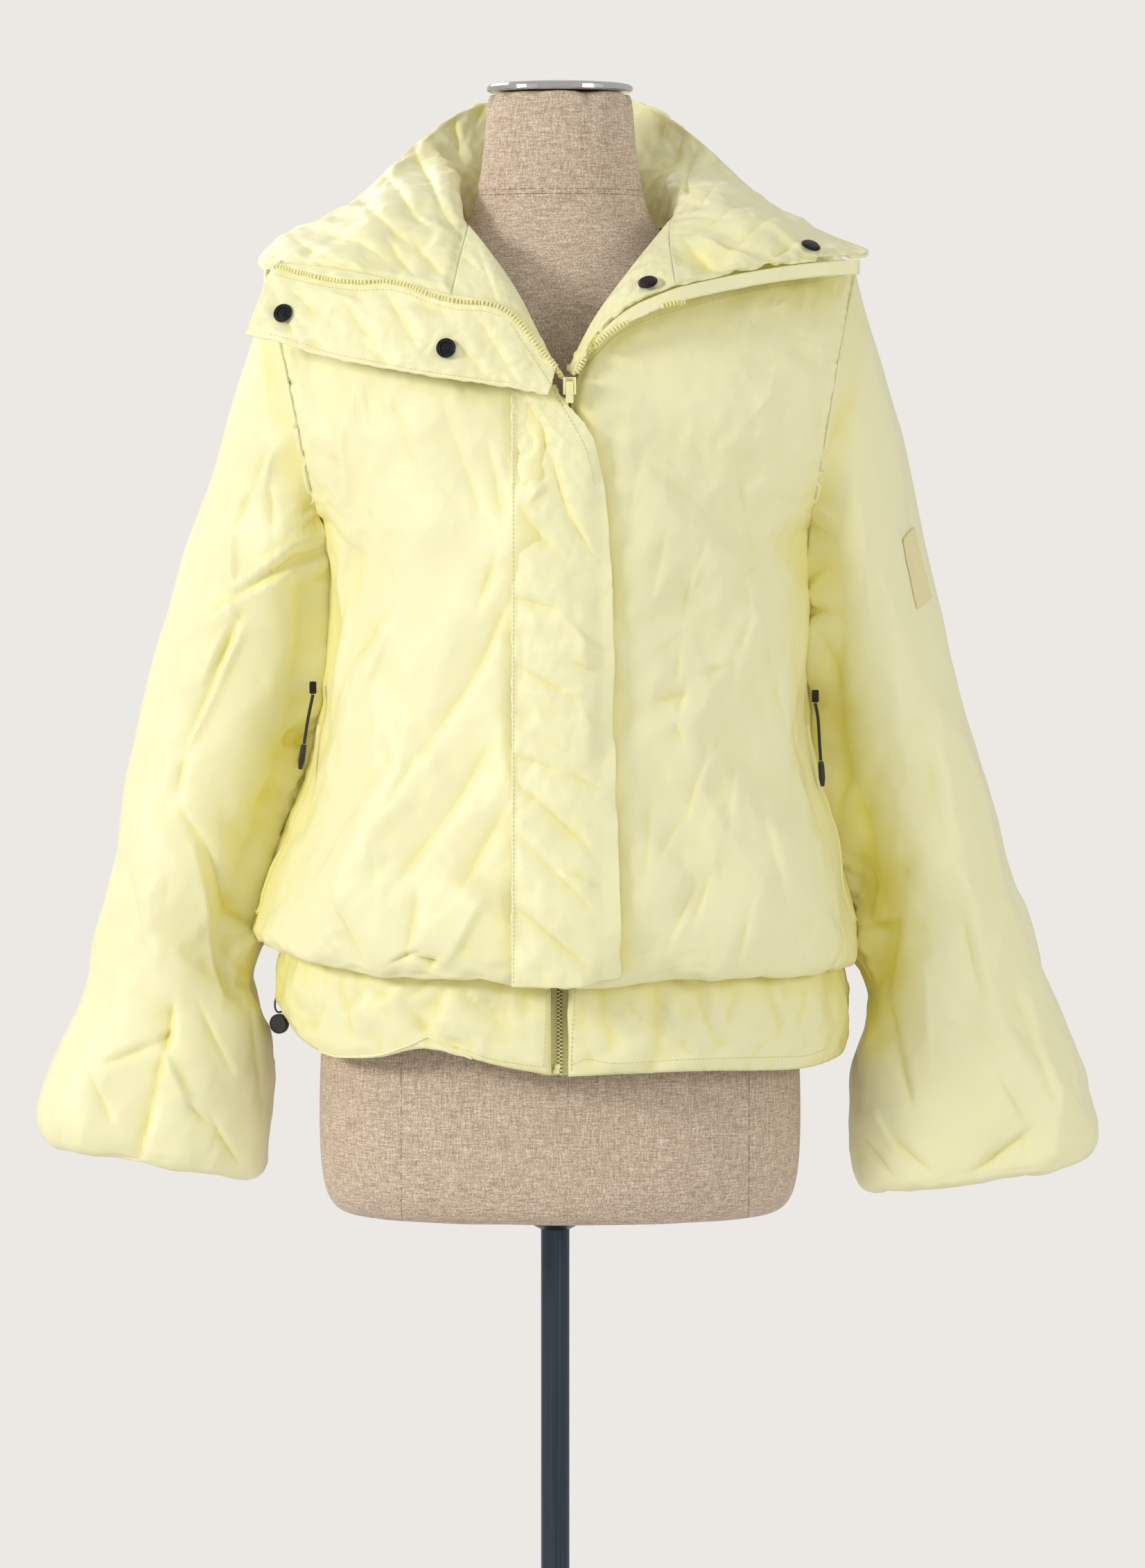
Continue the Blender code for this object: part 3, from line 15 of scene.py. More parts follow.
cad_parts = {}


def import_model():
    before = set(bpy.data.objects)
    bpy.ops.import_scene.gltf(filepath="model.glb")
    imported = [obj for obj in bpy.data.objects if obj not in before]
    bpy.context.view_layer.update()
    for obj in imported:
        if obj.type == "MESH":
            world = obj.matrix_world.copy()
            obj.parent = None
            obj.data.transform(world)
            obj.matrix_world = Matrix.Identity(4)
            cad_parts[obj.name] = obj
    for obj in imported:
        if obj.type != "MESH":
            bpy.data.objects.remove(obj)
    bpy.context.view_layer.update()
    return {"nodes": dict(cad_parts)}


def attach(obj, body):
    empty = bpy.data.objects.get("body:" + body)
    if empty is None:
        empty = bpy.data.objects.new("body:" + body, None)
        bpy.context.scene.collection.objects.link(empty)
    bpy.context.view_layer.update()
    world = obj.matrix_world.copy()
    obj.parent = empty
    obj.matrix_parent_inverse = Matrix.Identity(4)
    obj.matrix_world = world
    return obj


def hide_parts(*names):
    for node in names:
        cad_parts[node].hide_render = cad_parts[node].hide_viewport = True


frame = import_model()
BODY = "jacket"
NOISE_SEED = 1795552647     # noise_vector's offsets come from the clock if it isn't seeded
noise.seed_set(NOISE_SEED)

# ---- the photograph's view ----------------------------------------------------------
CAMERA_DISTANCE = 4.65
CAMERA_HEIGHT = 1.2395      # the photograph's horizon
VIEW_CENTRE_X = 0.0090
VIEW_CENTRE_Z = 1.0142
VIEW_HALF_HEIGHT = 0.5658   # what the frame covers at the form's depth
SENSOR = 24

PIXEL = 0.0005              # the photograph's pixel on the plane y = 0
PIXEL_X = 808               # the pixel column of x = 0, and the height of pixel row 0
PIXEL_Z = 1.58

SQUARE = ((-1, -1), (1, -1), (1, 1), (-1, 1))
FLOOR_HALF = 2.5            # the floor ends below the photograph's view
WORLD_STRENGTH = 0.57
WORLD_COLOUR = (1, 0.985, 0.98, 1)
BACKGROUND = (0.838, 0.815, 0.783, 1)       # what the camera sees behind the object
# Soft square lights: place, what they aim at, size, watts and colour.
LIGHTS = {
    "key": ((-3.1, -1.9, 2.3), (0, 0, 1.2), 0.8, 74, (1, 0.970, 0.965)),
    "fill": ((3.2, -2.8, 2.0), (0, 0, 1.1), 1.3, 40, (1, 0.985, 0.98)),
    "rim": ((-1.4, 1.6, 2.6), (0, 0, 1.2), 1.4, 20, (1, 1, 1)),
}

# ---- cloth --------------------------------------------------------------------------
SIM_LEVEL = 2               # subdivisions of a sheet while it is simulated
SIM_FRAMES = 14
CLOTH = {"quality": 5, "mass": 0.1, "tension_stiffness": 30, "compression_stiffness": 30,
         "shear_stiffness": 15, "bending_stiffness": 0.5}
JITTER = 0.0003             # moves the points a little first, so that the sheet buckles
RIM_SHARE = 0.8             # the folded edge's depth over the wall's thickness
# REACH, SKY_RAYS and SKY_SAMPLES set the rays that find where cloth closes in, for the painted shade.
REACH = 0.14                # how far off other cloth still closes a place in
SKY_RAYS = 14
SKY_SAMPLES = 2500


def link(name, data):
    """An object of some data, in the scene."""
    made = bpy.data.objects.new(name, data)
    bpy.context.collection.objects.link(made)
    return made


def point_at(made, place, aim):
    """Stand a camera or a light at a place, turned to what it aims at."""
    made.location = place
    made.rotation_euler = (Vector(aim) - Vector(place)).to_track_quat("-Z", "Y").to_euler()


def camera():
    """The camera at the photograph's viewing angle."""
    data = bpy.data.cameras.new("camera")
    data.sensor_fit = "VERTICAL"
    data.sensor_height = SENSOR
    aim = Vector((VIEW_CENTRE_X, 0, VIEW_CENTRE_Z))
    place = Vector((VIEW_CENTRE_X, -CAMERA_DISTANCE, CAMERA_HEIGHT))
    data.lens = SENSOR / 2 * (aim - place).length / VIEW_HALF_HEIGHT
    made = link("camera", data)
    point_at(made, place, aim)
    bpy.context.scene.camera = made


def world():
    """Soft light from all round, and a plain background that only the camera sees."""
    made = bpy.data.worlds.new("world")
    made.use_nodes = True
    nodes, links = made.node_tree.nodes, made.node_tree.links
    light = nodes["Background"]
    light.inputs["Color"].default_value = WORLD_COLOUR
    light.inputs["Strength"].default_value = WORLD_STRENGTH
    seen = nodes.new("ShaderNodeBackground")
    seen.inputs["Color"].default_value = BACKGROUND
    both = nodes.new("ShaderNodeMixShader")
    rays = nodes.new("ShaderNodeLightPath")
    links.new(rays.outputs["Is Camera Ray"], both.inputs["Fac"])
    links.new(light.outputs["Background"], both.inputs[1])
    links.new(seen.outputs["Background"], both.inputs[2])
    links.new(both.outputs["Shader"], nodes["World Output"].inputs["Surface"])
    bpy.context.scene.world = made


def studio():
    """A pale floor, a plain background, and soft light from the viewer's left."""
    data = bpy.data.meshes.new("studio_floor")
    corners = [(FLOOR_HALF * x, FLOOR_HALF * y, 0) for x, y in SQUARE]
    data.from_pydata(corners, [], [(0, 1, 2, 3)])
    pale = Nodes("pale_floor")
    pale.set(Base_Color=(0.80, 0.785, 0.765, 1), Roughness=0.9)
    data.materials.append(pale.material)
    link("studio_floor", data)
    world()
    for name, (place, aim, size, power, colour) in LIGHTS.items():
        lamp = bpy.data.lights.new(name, "AREA")
        lamp.size = size
        lamp.energy = power
        lamp.color = colour
        point_at(link(name, lamp), place, aim)
    bpy.context.scene.view_settings.view_transform = "Standard"


# ---- materials ----------------------------------------------------------------------
class Nodes:
    """A material's node tree, with short calls for the nodes that the looks are made of."""

    def __init__(self, name):
        self.material = bpy.data.materials.new(name)
        self.material.use_nodes = True
        self.tree = self.material.node_tree
        self.shader = self.tree.nodes["Principled BSDF"]
        self.coords = self.add("ShaderNodeTexCoord").outputs["Object"]

    def add(self, kind, inputs=None, **values):
        """A node with its properties and its inputs set."""
        node = self.tree.nodes.new(kind)
        for key, value in values.items():
            setattr(node, key, value)
        for key, value in (inputs or {}).items():
            self.feed(node.inputs[key], value)
        return node

    def feed(self, socket, value):
        """Give an input a constant, or link another node's output to it."""
        if isinstance(value, bpy.types.NodeSocket):
            self.tree.links.new(value, socket)
        else:
            socket.default_value = value

    def scaled(self, scale, turn=(0, 0, 0)):
        """The object's coordinates times a scale on each axis."""
        return self.add("ShaderNodeMapping", {"Scale": scale, "Rotation": turn,
                                              "Vector": self.coords}).outputs["Vector"]

    def noise(self, scale, detail=3.0, vector=None, roughness=0.5):
        return self.add("ShaderNodeTexNoise", {
            "Scale": scale, "Detail": detail, "Roughness": roughness,
            "Vector": vector or self.coords}).outputs["Fac"]

    def cells(self, scale):
        """Crisp ridges between the cells of a drifting pattern."""
        drift = self.add("ShaderNodeTexNoise", {"Scale": scale * 0.6, "Vector": self.coords})
        moved = self.add("ShaderNodeVectorMath", {
            0: drift.outputs["Color"], 1: (0.9 / scale,) * 3, 2: self.coords},
            operation="MULTIPLY_ADD")
        return self.add("ShaderNodeTexVoronoi", {
            "Scale": scale, "Vector": moved.outputs[0]}).outputs["Distance"]

    def wave(self, scale, direction, distortion=0.0, vector=None):
        return self.add("ShaderNodeTexWave", {
            "Scale": scale, "Distortion": distortion, "Detail": 1.0,
            "Vector": vector or self.coords}, bands_direction=direction).outputs["Fac"]

    def math(self, operation, first, second):
        return self.add("ShaderNodeMath", {0: first, 1: second},
                        operation=operation).outputs["Value"]

    def ramp(self, value, stops):
        """Colours at shares of a value."""
        node = self.add("ShaderNodeValToRGB", {"Fac": value})
        while len(node.color_ramp.elements) < len(stops):
            node.color_ramp.elements.new(0.5)
        for element, (share, colour) in zip(node.color_ramp.elements, stops):
            element.position = share
            element.color = (*colour, 1)
        return node.outputs["Color"]

    def mix(self, share, first, second):
        """A colour between two others."""
        node = self.add("ShaderNodeMix", data_type="RGBA")
        sockets = [socket for socket in node.inputs if socket.enabled]
        for socket, value in zip(sockets, (share, first, second)):
            self.feed(socket, value)
        return next(socket for socket in node.outputs if socket.enabled)

    def bump(self, height, distance, strength):
        """Bump from a height, one after another."""
        node = self.add("ShaderNodeBump", {
            "Strength": strength, "Distance": distance, "Height": height})
        before = self.shader.inputs["Normal"].links
        if before:
            self.feed(node.inputs["Normal"], before[0].from_socket)
        self.feed(self.shader.inputs["Normal"], node.outputs["Normal"])

    def set(self, **values):
        """Inputs of the shader, by socket name with _ for spaces."""
        for key, value in values.items():
            self.feed(self.shader.inputs[key.replace("_", " ")], value)


LEMON = (0.885, 0.862, 0.510)
# Painted shade: the deep yellow that the cloth's colour turns to in troughs and where other cloth closes
# in.
LEMON_PAINTED_SHADE = (0.82, 0.75, 0.18, 1)
THREADS = 620.0             # the shell's weave, and the scales of its soft crumple
CRUMPLE = ((34.0, 0.0022, 0.42), (90.0, 0.0007, 0.30))


def shell_material():
    """Smooth woven shell cloth, with painted shade: its colour deepens to a deep yellow where the folds and
    walls close in.
    """
    nodes = Nodes("lemon_shell")
    dull = tuple(c * 0.97 for c in LEMON)
    bright = tuple(c * 1.02 for c in LEMON)
    base = nodes.mix(nodes.noise(9.0, roughness=0.55), (*dull, 1), (*bright, 1))
    # Painted shade: the mesh's 'depth' attribute mixes the deep yellow into the colour.
    shade = nodes.add("ShaderNodeAttribute", attribute_name="depth").outputs["Fac"]
    nodes.set(Base_Color=nodes.mix(shade, base, LEMON_PAINTED_SHADE), Roughness=0.42,
              Sheen_Weight=0.12, Sheen_Roughness=0.4)
    weave = nodes.math("MULTIPLY", nodes.wave(THREADS, "X", 0.3), nodes.wave(THREADS, "Z", 0.3))
    for scale, depth, strength in CRUMPLE:
        nodes.bump(nodes.cells(scale), depth, strength)
    nodes.bump(weave, 0.00012, 0.35)
    return nodes.material


FORM_SEAMS = (("X", -0.1125), ("X", 0.1345), ("Z", 1.4370), ("Z", 1.4405))
SEAM_HALF = 0.0004


def linen_material():
    """Natural linen: a basket weave with slubs, and darker seams sewn with dots."""
    nodes = Nodes("linen_weave")
    slubs = nodes.noise(1.0, 2.0, nodes.scaled((110, 110, 1100)))
    warp = nodes.noise(1.0, 2.0, nodes.scaled((1100, 1100, 100)))
    basket = nodes.noise(900.0, 1.0)
    threads = nodes.math("ADD", nodes.math("MULTIPLY", nodes.math("ADD", slubs, warp), 0.32),
                         nodes.math("MULTIPLY", basket, 0.36))
    colour = nodes.ramp(threads, ((0.38, (0.36, 0.265, 0.180)), (0.50, (0.54, 0.425, 0.310)),
                                  (0.62, (0.78, 0.66, 0.52))))
    axes = nodes.add("ShaderNodeSeparateXYZ", {0: nodes.coords}).outputs
    line = 0.0
    for axis, at in FORM_SEAMS:
        away = nodes.math("ABSOLUTE", nodes.math("SUBTRACT", axes[axis], at), 0.0)
        line = nodes.math("MAXIMUM", line, nodes.math("LESS_THAN", away, SEAM_HALF))
    dots = nodes.math("GREATER_THAN", nodes.noise(420.0, 1.0), 0.47)
    line = nodes.math("MULTIPLY", line, dots)
    nodes.set(Base_Color=nodes.mix(line, colour, (0.30, 0.215, 0.145, 1)), Roughness=0.9,
              Sheen_Weight=0.15)
    nodes.bump(threads, 0.0006, 0.6)
    nodes.bump(nodes.math("SUBTRACT", 1.0, line), 0.0006, 0.6)
    return nodes.material


def grey(value):
    return (value, value, value)


def chrome_material():
    nodes = Nodes("chrome_cap")
    smear = nodes.ramp(nodes.noise(60.0), ((0.3, grey(0.10)), (0.7, grey(0.20))))
    nodes.set(Base_Color=(0.62, 0.63, 0.64, 1), Metallic=1.0, Roughness=smear)
    return nodes.material


def steel_material():
    """Dark blue-grey lacquered steel, brushed along its length."""
    nodes = Nodes("dark_steel")
    grain = nodes.noise(1.0, vector=nodes.scaled((900, 900, 6)))
    colour = nodes.ramp(grain, ((0.3, (0.035, 0.050, 0.062)), (0.7, (0.060, 0.082, 0.100))))
    smear = nodes.ramp(nodes.noise(60.0), ((0.3, grey(0.33)), (0.7, grey(0.36))))
    nodes.set(Base_Color=colour, Roughness=smear, Metallic=0.85)
    return nodes.material


BLACK = ((0.35, (0.012, 0.013, 0.014)), (0.7, (0.030, 0.031, 0.032)))
ZIP_LEMON = ((0.3, (0.84, 0.80, 0.38)), (0.7, (0.90, 0.86, 0.46)))
TAPE_LEMON = ((0.2, (0.66, 0.62, 0.24)), (0.8, (0.80, 0.77, 0.38)))
PATCH_LEMON = ((0.2, (0.80, 0.71, 0.36)), (0.8, (0.88, 0.80, 0.45)))
THREAD_LEMON = ((0.2, (0.66, 0.62, 0.22)), (0.8, (0.84, 0.80, 0.36)))
BRAID_BLACK = ((0.1, (0.008, 0.008, 0.009)), (0.8, (0.040, 0.041, 0.043)))


def patterned(nodes, pattern, stops, depth, strength, **values):
    """A material whose colour and bump follow one pattern."""
    nodes.set(Base_Color=nodes.ramp(pattern, stops), **values)
    nodes.bump(pattern, depth, strength)
    return nodes.material


def mottled(name, scale, detail, stops, strength, **values):
    """Moulded plastic or painted metal with a faint grain."""
    nodes = Nodes(name)
    return patterned(nodes, nodes.noise(scale, detail), stops, 0.0001, strength, **values)


def ribbed(name, scale, direction, unevenness, stops, depth, **values):
    """Tape, twill or thread: one wave's ribs."""
    nodes = Nodes(name)
    ribs = nodes.wave(scale, direction, unevenness)
    return patterned(nodes, ribs, stops, depth, 0.5, **values)


def braid_material():
    """Black braided cord."""
    nodes = Nodes("black_braid")
    strands = [nodes.wave(1.0, "X", vector=nodes.scaled((900, 900, 420), (0, radians(turn), 0)))
               for turn in (38, -38)]
    plait = nodes.math("MULTIPLY", *strands)
    return patterned(nodes, plait, BRAID_BLACK, 0.0003, 0.8, Roughness=0.6, Sheen_Weight=0.2)


# ---- turning solids into cloth -------------------------------------------------------
def unit(vectors):
    """Vectors at length one, and zero ones left as they are."""
    length = np.linalg.norm(vectors, axis=-1, keepdims=True)
    return vectors / np.where(length < 1e-12, 1, length)


def blend(low, high, value):
    """A smooth step from 0 at low to 1 at high."""
    share = np.clip((value - low) / (high - low), 0, 1)
    return share * share * (3 - 2 * share)


def spot(px, py):
    """A pixel of the photograph as a point of the plane y = 0."""
    return Vector(((px - PIXEL_X) * PIXEL, 0, PIXEL_Z - py * PIXEL))


def seen_at(points):
    """The pixels at which the camera sees points."""
    share = CAMERA_DISTANCE / (points[:, 1] + CAMERA_DISTANCE)
    x = VIEW_CENTRE_X + (points[:, 0] - VIEW_CENTRE_X) * share
    z = CAMERA_HEIGHT + (points[:, 2] - CAMERA_HEIGHT) * share
    return np.stack([x / PIXEL + PIXEL_X, (PIXEL_Z - z) / PIXEL], axis=-1)


def read(collection, name, width=3):
    """An array of one value of every item of a mesh."""
    values = np.empty(len(collection) * width)
    collection.foreach_get(name, values)
    return values.reshape(-1, width)


def quads(node):
    """A bmesh of a solid, with its triangles joined into quads."""
    mesh = bmesh.new()
    mesh.from_mesh(frame["nodes"][node].data)
    bmesh.ops.remove_doubles(mesh, verts=mesh.verts, dist=1e-5)
    bmesh.ops.join_triangles(mesh, faces=mesh.faces, angle_face_threshold=1.2,
                             angle_shape_threshold=1.2, topology_influence=1.0)
    return mesh


def outer_side(node, facing, walls):
    """A bmesh of quads: the outer side of a cloth solid, without its rim.

    An edge across the rim is exactly as long as one of the solid's wall thicknesses.
    """
    mesh = quads(node)
    mesh.normal_update()
    rim = []
    for face in mesh.faces:
        across = sum(any(abs(edge.calc_length() - wall) < 2e-5 for wall in walls)
                     for edge in face.edges)
        if across >= len(face.edges) - 2:
            rim.append(face)
    bmesh.ops.delete(mesh, geom=rim, context="FACES_ONLY")
    left = set(mesh.faces)
    sides = []
    while left:
        patch = [left.pop()]
        for face in patch:
            beside = {other for edge in face.edges for other in edge.link_faces
                      if other in left and other.normal.dot(face.normal) > 0.3}
            left -= beside
            patch.extend(beside)
        sides.append(patch)

    def score(patch):
        return sum(facing(face.calc_center_median()).dot(face.normal) * face.calc_area()
                   for face in patch)

    kept = set(max(sides, key=score))
    spare = [face for face in mesh.faces if face not in kept]
    bmesh.ops.delete(mesh, geom=spare, context="FACES")
    loose = [vert for vert in mesh.verts if not vert.link_faces]
    bmesh.ops.delete(mesh, geom=loose, context="VERTS")
    return mesh


def into_data(mesh, name):
    """A mesh made of a bmesh, which is freed."""
    data = bpy.data.meshes.new(name)
    mesh.to_mesh(data)
    mesh.free()
    return data


def refined(data, levels):
    """A copy of a mesh, subdivided smoothly that many times."""
    helper = link("cage", data)
    modifier = helper.modifiers.new("smooth", "SUBSURF")
    modifier.levels = levels
    modifier.render_levels = levels
    modifier.boundary_smooth = "PRESERVE_CORNERS"
    depsgraph = bpy.context.evaluated_depsgraph_get()
    made = bpy.data.meshes.new_from_object(helper.evaluated_get(depsgraph))
    bpy.data.objects.remove(helper)
    return made


def open_edge(data):
    """Indices of the vertices on a mesh's open edge."""
    mesh = bmesh.new()
    mesh.from_mesh(data)
    found = [vert.index for vert in mesh.verts if vert.is_boundary]
    mesh.free()
    return found


def crumpled(data, name, growth, hold, cap):
    """Points of a sheet that is a little too large for its edge, so that it buckles.

    Blender's cloth runs with the edge pinned and the rest softly held in its place, and
    no point moves further than cap.
    """
    made = link(name + "_sim", data.copy())
    home = read(data.vertices, "co")
    edge = open_edge(data)
    inner = sorted(set(range(len(home))) - set(edge))
    held = made.vertex_groups.new(name="held")
    held.add(edge, 1.0, "REPLACE")
    held.add(inner, hold, "REPLACE")
    jitter = np.random.default_rng(len(home)).normal(0, JITTER, home.shape)
    made.data.vertices.foreach_set("co", (home + jitter).ravel())
    cloth = made.modifiers.new("cloth", "CLOTH")
    for setting, value in CLOTH.items():
        setattr(cloth.settings, setting, value)
    cloth.settings.shrink_min = -growth
    cloth.settings.vertex_group_mass = "held"
    cloth.settings.effector_weights.gravity = 0
    cloth.collision_settings.use_collision = False
    cloth.point_cache.frame_start = 1
    cloth.point_cache.frame_end = SIM_FRAMES
    for number in range(1, SIM_FRAMES + 1):
        bpy.context.scene.frame_set(number)
    depsgraph = bpy.context.evaluated_depsgraph_get()
    moved = read(made.evaluated_get(depsgraph).data.vertices, "co") - home
    bpy.data.objects.remove(made)
    bpy.context.scene.frame_set(1)
    moved[edge] = 0
    length = np.linalg.norm(moved, axis=1, keepdims=True)
    return home + moved * np.tanh(length / cap) * cap / np.maximum(length, 1e-9)


STEEP = 0.75                # a pressed line's flanks, over its half width
GENTLE = 2.8
PRESS_DEPTH = 0.0012        # metres for a depth of 1 in the table of folds
HEM_FADE = 0.004            # creases fade out within this of the sheet's edge


class Sheet:
    """A cloth piece while it is worked on: its points, normals and distance to its edge."""

    def __init__(self, name, node, facing, walls, levels, ease=None):
        self.name = name
        self.node = node
        self.thickness = walls[-1]
        cage = into_data(outer_side(node, facing, walls), name + "_cage")
        coarse = refined(cage, min(levels, SIM_LEVEL))
        more = max(levels - SIM_LEVEL, 0)
        still = refined(coarse.copy(), more)
        self.home = read(still.vertices, "co")
        if ease:
            coarse.vertices.foreach_set("co", crumpled(coarse, name, *ease).ravel())
        self.data = refined(coarse, more)
        self.data.name = name
        self.area = sum(face.area for face in still.polygons)
        self.update()
        self.home_normals = read(still.vertices, "normal")
        edge = open_edge(still)
        tree = KDTree(len(edge))
        for k, index in enumerate(edge):
            tree.insert(self.home[index], k)
        tree.balance()
        found = [tree.find(point) for point in self.home]
        self.edge_spot = np.array([item[0] for item in found])
        self.from_edge = np.array([item[2] for item in found])
        self.pairs = read(still.edges, "vertices", 2).astype(int)

    def update(self):
        """Points and normals from the mesh."""
        self.points = read(self.data.vertices, "co")
        self.normals = read(self.data.vertices, "normal")

    def place(self, points):
        """Put the points somewhere else."""
        self.data.vertices.foreach_set("co", points.ravel())
        self.data.update()
        self.update()

    def push(self, amount):
        """Move each point out along the smooth sheet's normal by its own amount."""
        self.place(self.points + self.home_normals * amount[:, None])

    def evened(self, values, rounds):
        """Values averaged with their neighbours', that many times over."""
        first, second = self.pairs.T
        count = np.bincount(self.pairs.ravel(), minlength=len(values)) + 1
        for _ in range(rounds):
            total = values.copy()
            for k in range(values.shape[1]):
                total[:, k] += np.bincount(first, values[second, k], len(values))
                total[:, k] += np.bincount(second, values[first, k], len(values))
            values = total / count[:, None]
        return values

    def hollow(self, rounds, deepest):
        """How far each point lies in a trough, from 0 to 1."""
        low = (self.evened(self.points, rounds) - self.points) * self.home_normals
        return np.clip(low.sum(axis=1) / deepest, 0, 1)

    def press(self, lines, deeper):
        """Press troughs, or raise ridges, along lines given in the photograph's pixels.

        A line's one flank is steep and its other gentle, as in creased cloth. A row is
        x0, y0, x1, y1, half width in pixels, depth in millimetres, negative for a ridge.
        """
        flat = seen_at(self.home)
        on_face = blend(0.0, 0.35, -self.home_normals[:, 1])
        amount = np.zeros(len(flat))
        for x0, y0, x1, y1, half_width, depth in lines:
            way = np.array([x1 - x0, y1 - y0], float)
            length = np.linalg.norm(way)
            way /= length
            off = flat - (x0, y0)
            along = off @ way / length
            across = off[:, 0] * way[1] - off[:, 1] * way[0]
            beyond = np.maximum(np.abs(along - 0.5) - 0.5, 0) * length
            width = half_width * np.where(across > 0, STEEP, GENTLE)
            reach = np.sqrt((across / width) ** 2 + (beyond / (half_width * 1.5)) ** 2)
            taper = 0.4 + 0.6 * np.sin(pi * np.clip(along, 0, 1))
            amount -= deeper * depth * PRESS_DEPTH * np.exp(-reach ** 1.1) * taper
        self.push(amount * on_face * blend(0, HEM_FADE, self.from_edge))

    def crinkle(self, seed, count, length, width, depth, turn=0, spread=90):
        """Scatter short sharp creases, most of them near one direction from upright."""
        rng = np.random.default_rng(seed)
        total = len(self.home)
        amount = np.zeros(total)
        up = np.array([0, 0, 1.0])
        for index in rng.choice(total, count, p=np.full(total, 1 / total)):
            normal = self.home_normals[index]
            side = unit(np.cross(up, normal))
            rise = np.cross(normal, side)
            angle = radians(rng.normal(turn, spread))
            way = rise * cos(angle) + side * sin(angle)
            flank = np.cross(normal, way)
            reach = rng.uniform(*length) / 2
            half_width = rng.uniform(*width)
            off = self.home - self.home[index]
            along = off @ way
            across = off @ flank
            beyond = np.maximum(np.abs(along) - reach, 0)
            span = np.where(across > 0, half_width, half_width * rng.uniform(1.2, 3))
            distance = np.sqrt((across / span) ** 2 + (beyond / half_width) ** 2)
            near = np.abs(off @ normal) < 0.03
            taper = np.clip(1 - np.abs(along) / (reach * 1.3), 0, 1)
            sign = rng.choice((-1, -1, 1))
            amount += sign * rng.uniform(*depth) * np.exp(-distance ** 1.2) * taper * near
        self.push(amount * blend(0, HEM_FADE, self.from_edge))

    def facet(self, seed, cell, stretch, depth, turn, mirrored):
        """Crumple into facets that meet in crisp ridges, drawn out along the folds' way."""
        rng = np.random.default_rng(seed)
        angle = radians(turn) * (np.sign(self.home[:, 0]) if mirrored else 1)
        angle = np.broadcast_to(angle, len(self.home))
        way = np.stack([np.sin(angle), np.zeros(len(angle)), np.cos(angle)], axis=-1)
        drift = np.array([noise.noise_vector(Vector(point) / (2 * cell))
                          for point in self.home])
        spots = self.home + drift * cell * 0.6
        spots -= way * ((spots * way).sum(axis=1) * (1 - 1 / stretch))[:, None]
        count = max(int(self.area / (cell * cell * stretch)), 3)
        seeds = KDTree(count)
        for k, index in enumerate(rng.choice(len(spots), count)):
            seeds.insert(spots[index], k)
        seeds.balance()
        away = np.array([seeds.find(point)[2] for point in spots]) / cell
        height = np.clip(np.sqrt(away ** 2 + 0.03), 0, 1.1)
        self.push(depth * (height - 0.5) * blend(0, 0.008, self.from_edge))

    def pucker(self, depth, pitch, reach):
        """Short gathers that run in from the seams."""
        wave = np.array([noise.noise(Vector(point) / pitch) for point in self.edge_spot])
        drift = np.array([noise.noise(Vector(point) / (pitch * 5)) for point in self.edge_spot])
        fall = np.exp(-(self.from_edge / (reach * (1 + 0.7 * drift))) ** 1.3)
        self.push(depth * (wave - 0.25) * fall * blend(0, 0.0012, self.from_edge))

    def meet(self, tree, reach, gap, part=1):
        """Lean a part of the way on a neighbour closer than reach, down to a gap."""
        moved = self.points.copy()
        part = np.broadcast_to(part, len(self.points))
        for k, point in enumerate(self.points):
            place, _, _, distance = tree.find_nearest(point, reach)
            if place is not None and distance > gap:
                share = part[k] * (1 - blend(reach * 0.6, reach, distance))
                moved[k] += (np.array(place) - point) * (1 - gap / distance) * share
        self.place(moved)

    def lie_on(self, tree, lift):
        """Follow the surface below, at a height above it."""
        moved = self.points.copy()
        for k, point in enumerate(self.points):
            place, normal, _, _ = tree.find_nearest(point)
            if normal.dot(self.home_normals[k]) < 0:
                normal = -normal
            moved[k] = place + normal * lift
        self.place(moved)

    def upper_rim(self):
        """The points round the sheet's highest open edge, in order."""
        mesh = bmesh.new()
        mesh.from_mesh(self.data)
        beside = {vert.index: [edge.other_vert(vert).index for edge in vert.link_edges
                               if edge.is_boundary]
                  for vert in mesh.verts if vert.is_boundary}
        mesh.free()
        left = {index for index in beside}
        loops = []
        while left:
            loop = [left.pop()]
            ahead = loop
            while ahead:
                ahead = [index for index in beside[loop[-1]] if index in left][:1]
                loop += ahead
                left -= set(ahead)
            loops.append(loop)
        return max(loops, key=lambda loop: self.points[loop, 2].mean())

    def closed_in(self, tree):
        """How far cloth nearby closes each point in, from 0 to 1, by rays into the open; it feeds the
        cloth's painted shade.
        """
        rng = np.random.default_rng(7)
        sample = np.arange(0, len(self.points), max(len(self.points) // SKY_SAMPLES, 1))
        ways = unit(rng.normal(size=(SKY_RAYS, 3)))
        shut = np.zeros(len(sample))
        spots = KDTree(len(sample))
        for k, index in enumerate(sample):
            normal = self.normals[index]
            start = self.points[index] + normal * 0.002
            spots.insert(self.points[index], k)
            for way in ways:
                ray = unit(way + normal * 1.05)
                distance = tree.ray_cast(start, ray, REACH)[3]
                if distance is not None:
                    shut[k] += 1 - distance / REACH
        spots.balance()
        near = np.array([spots.find(point)[1] for point in self.points])
        return self.evened(shut[near][:, None] / SKY_RAYS, 40)[:, 0]

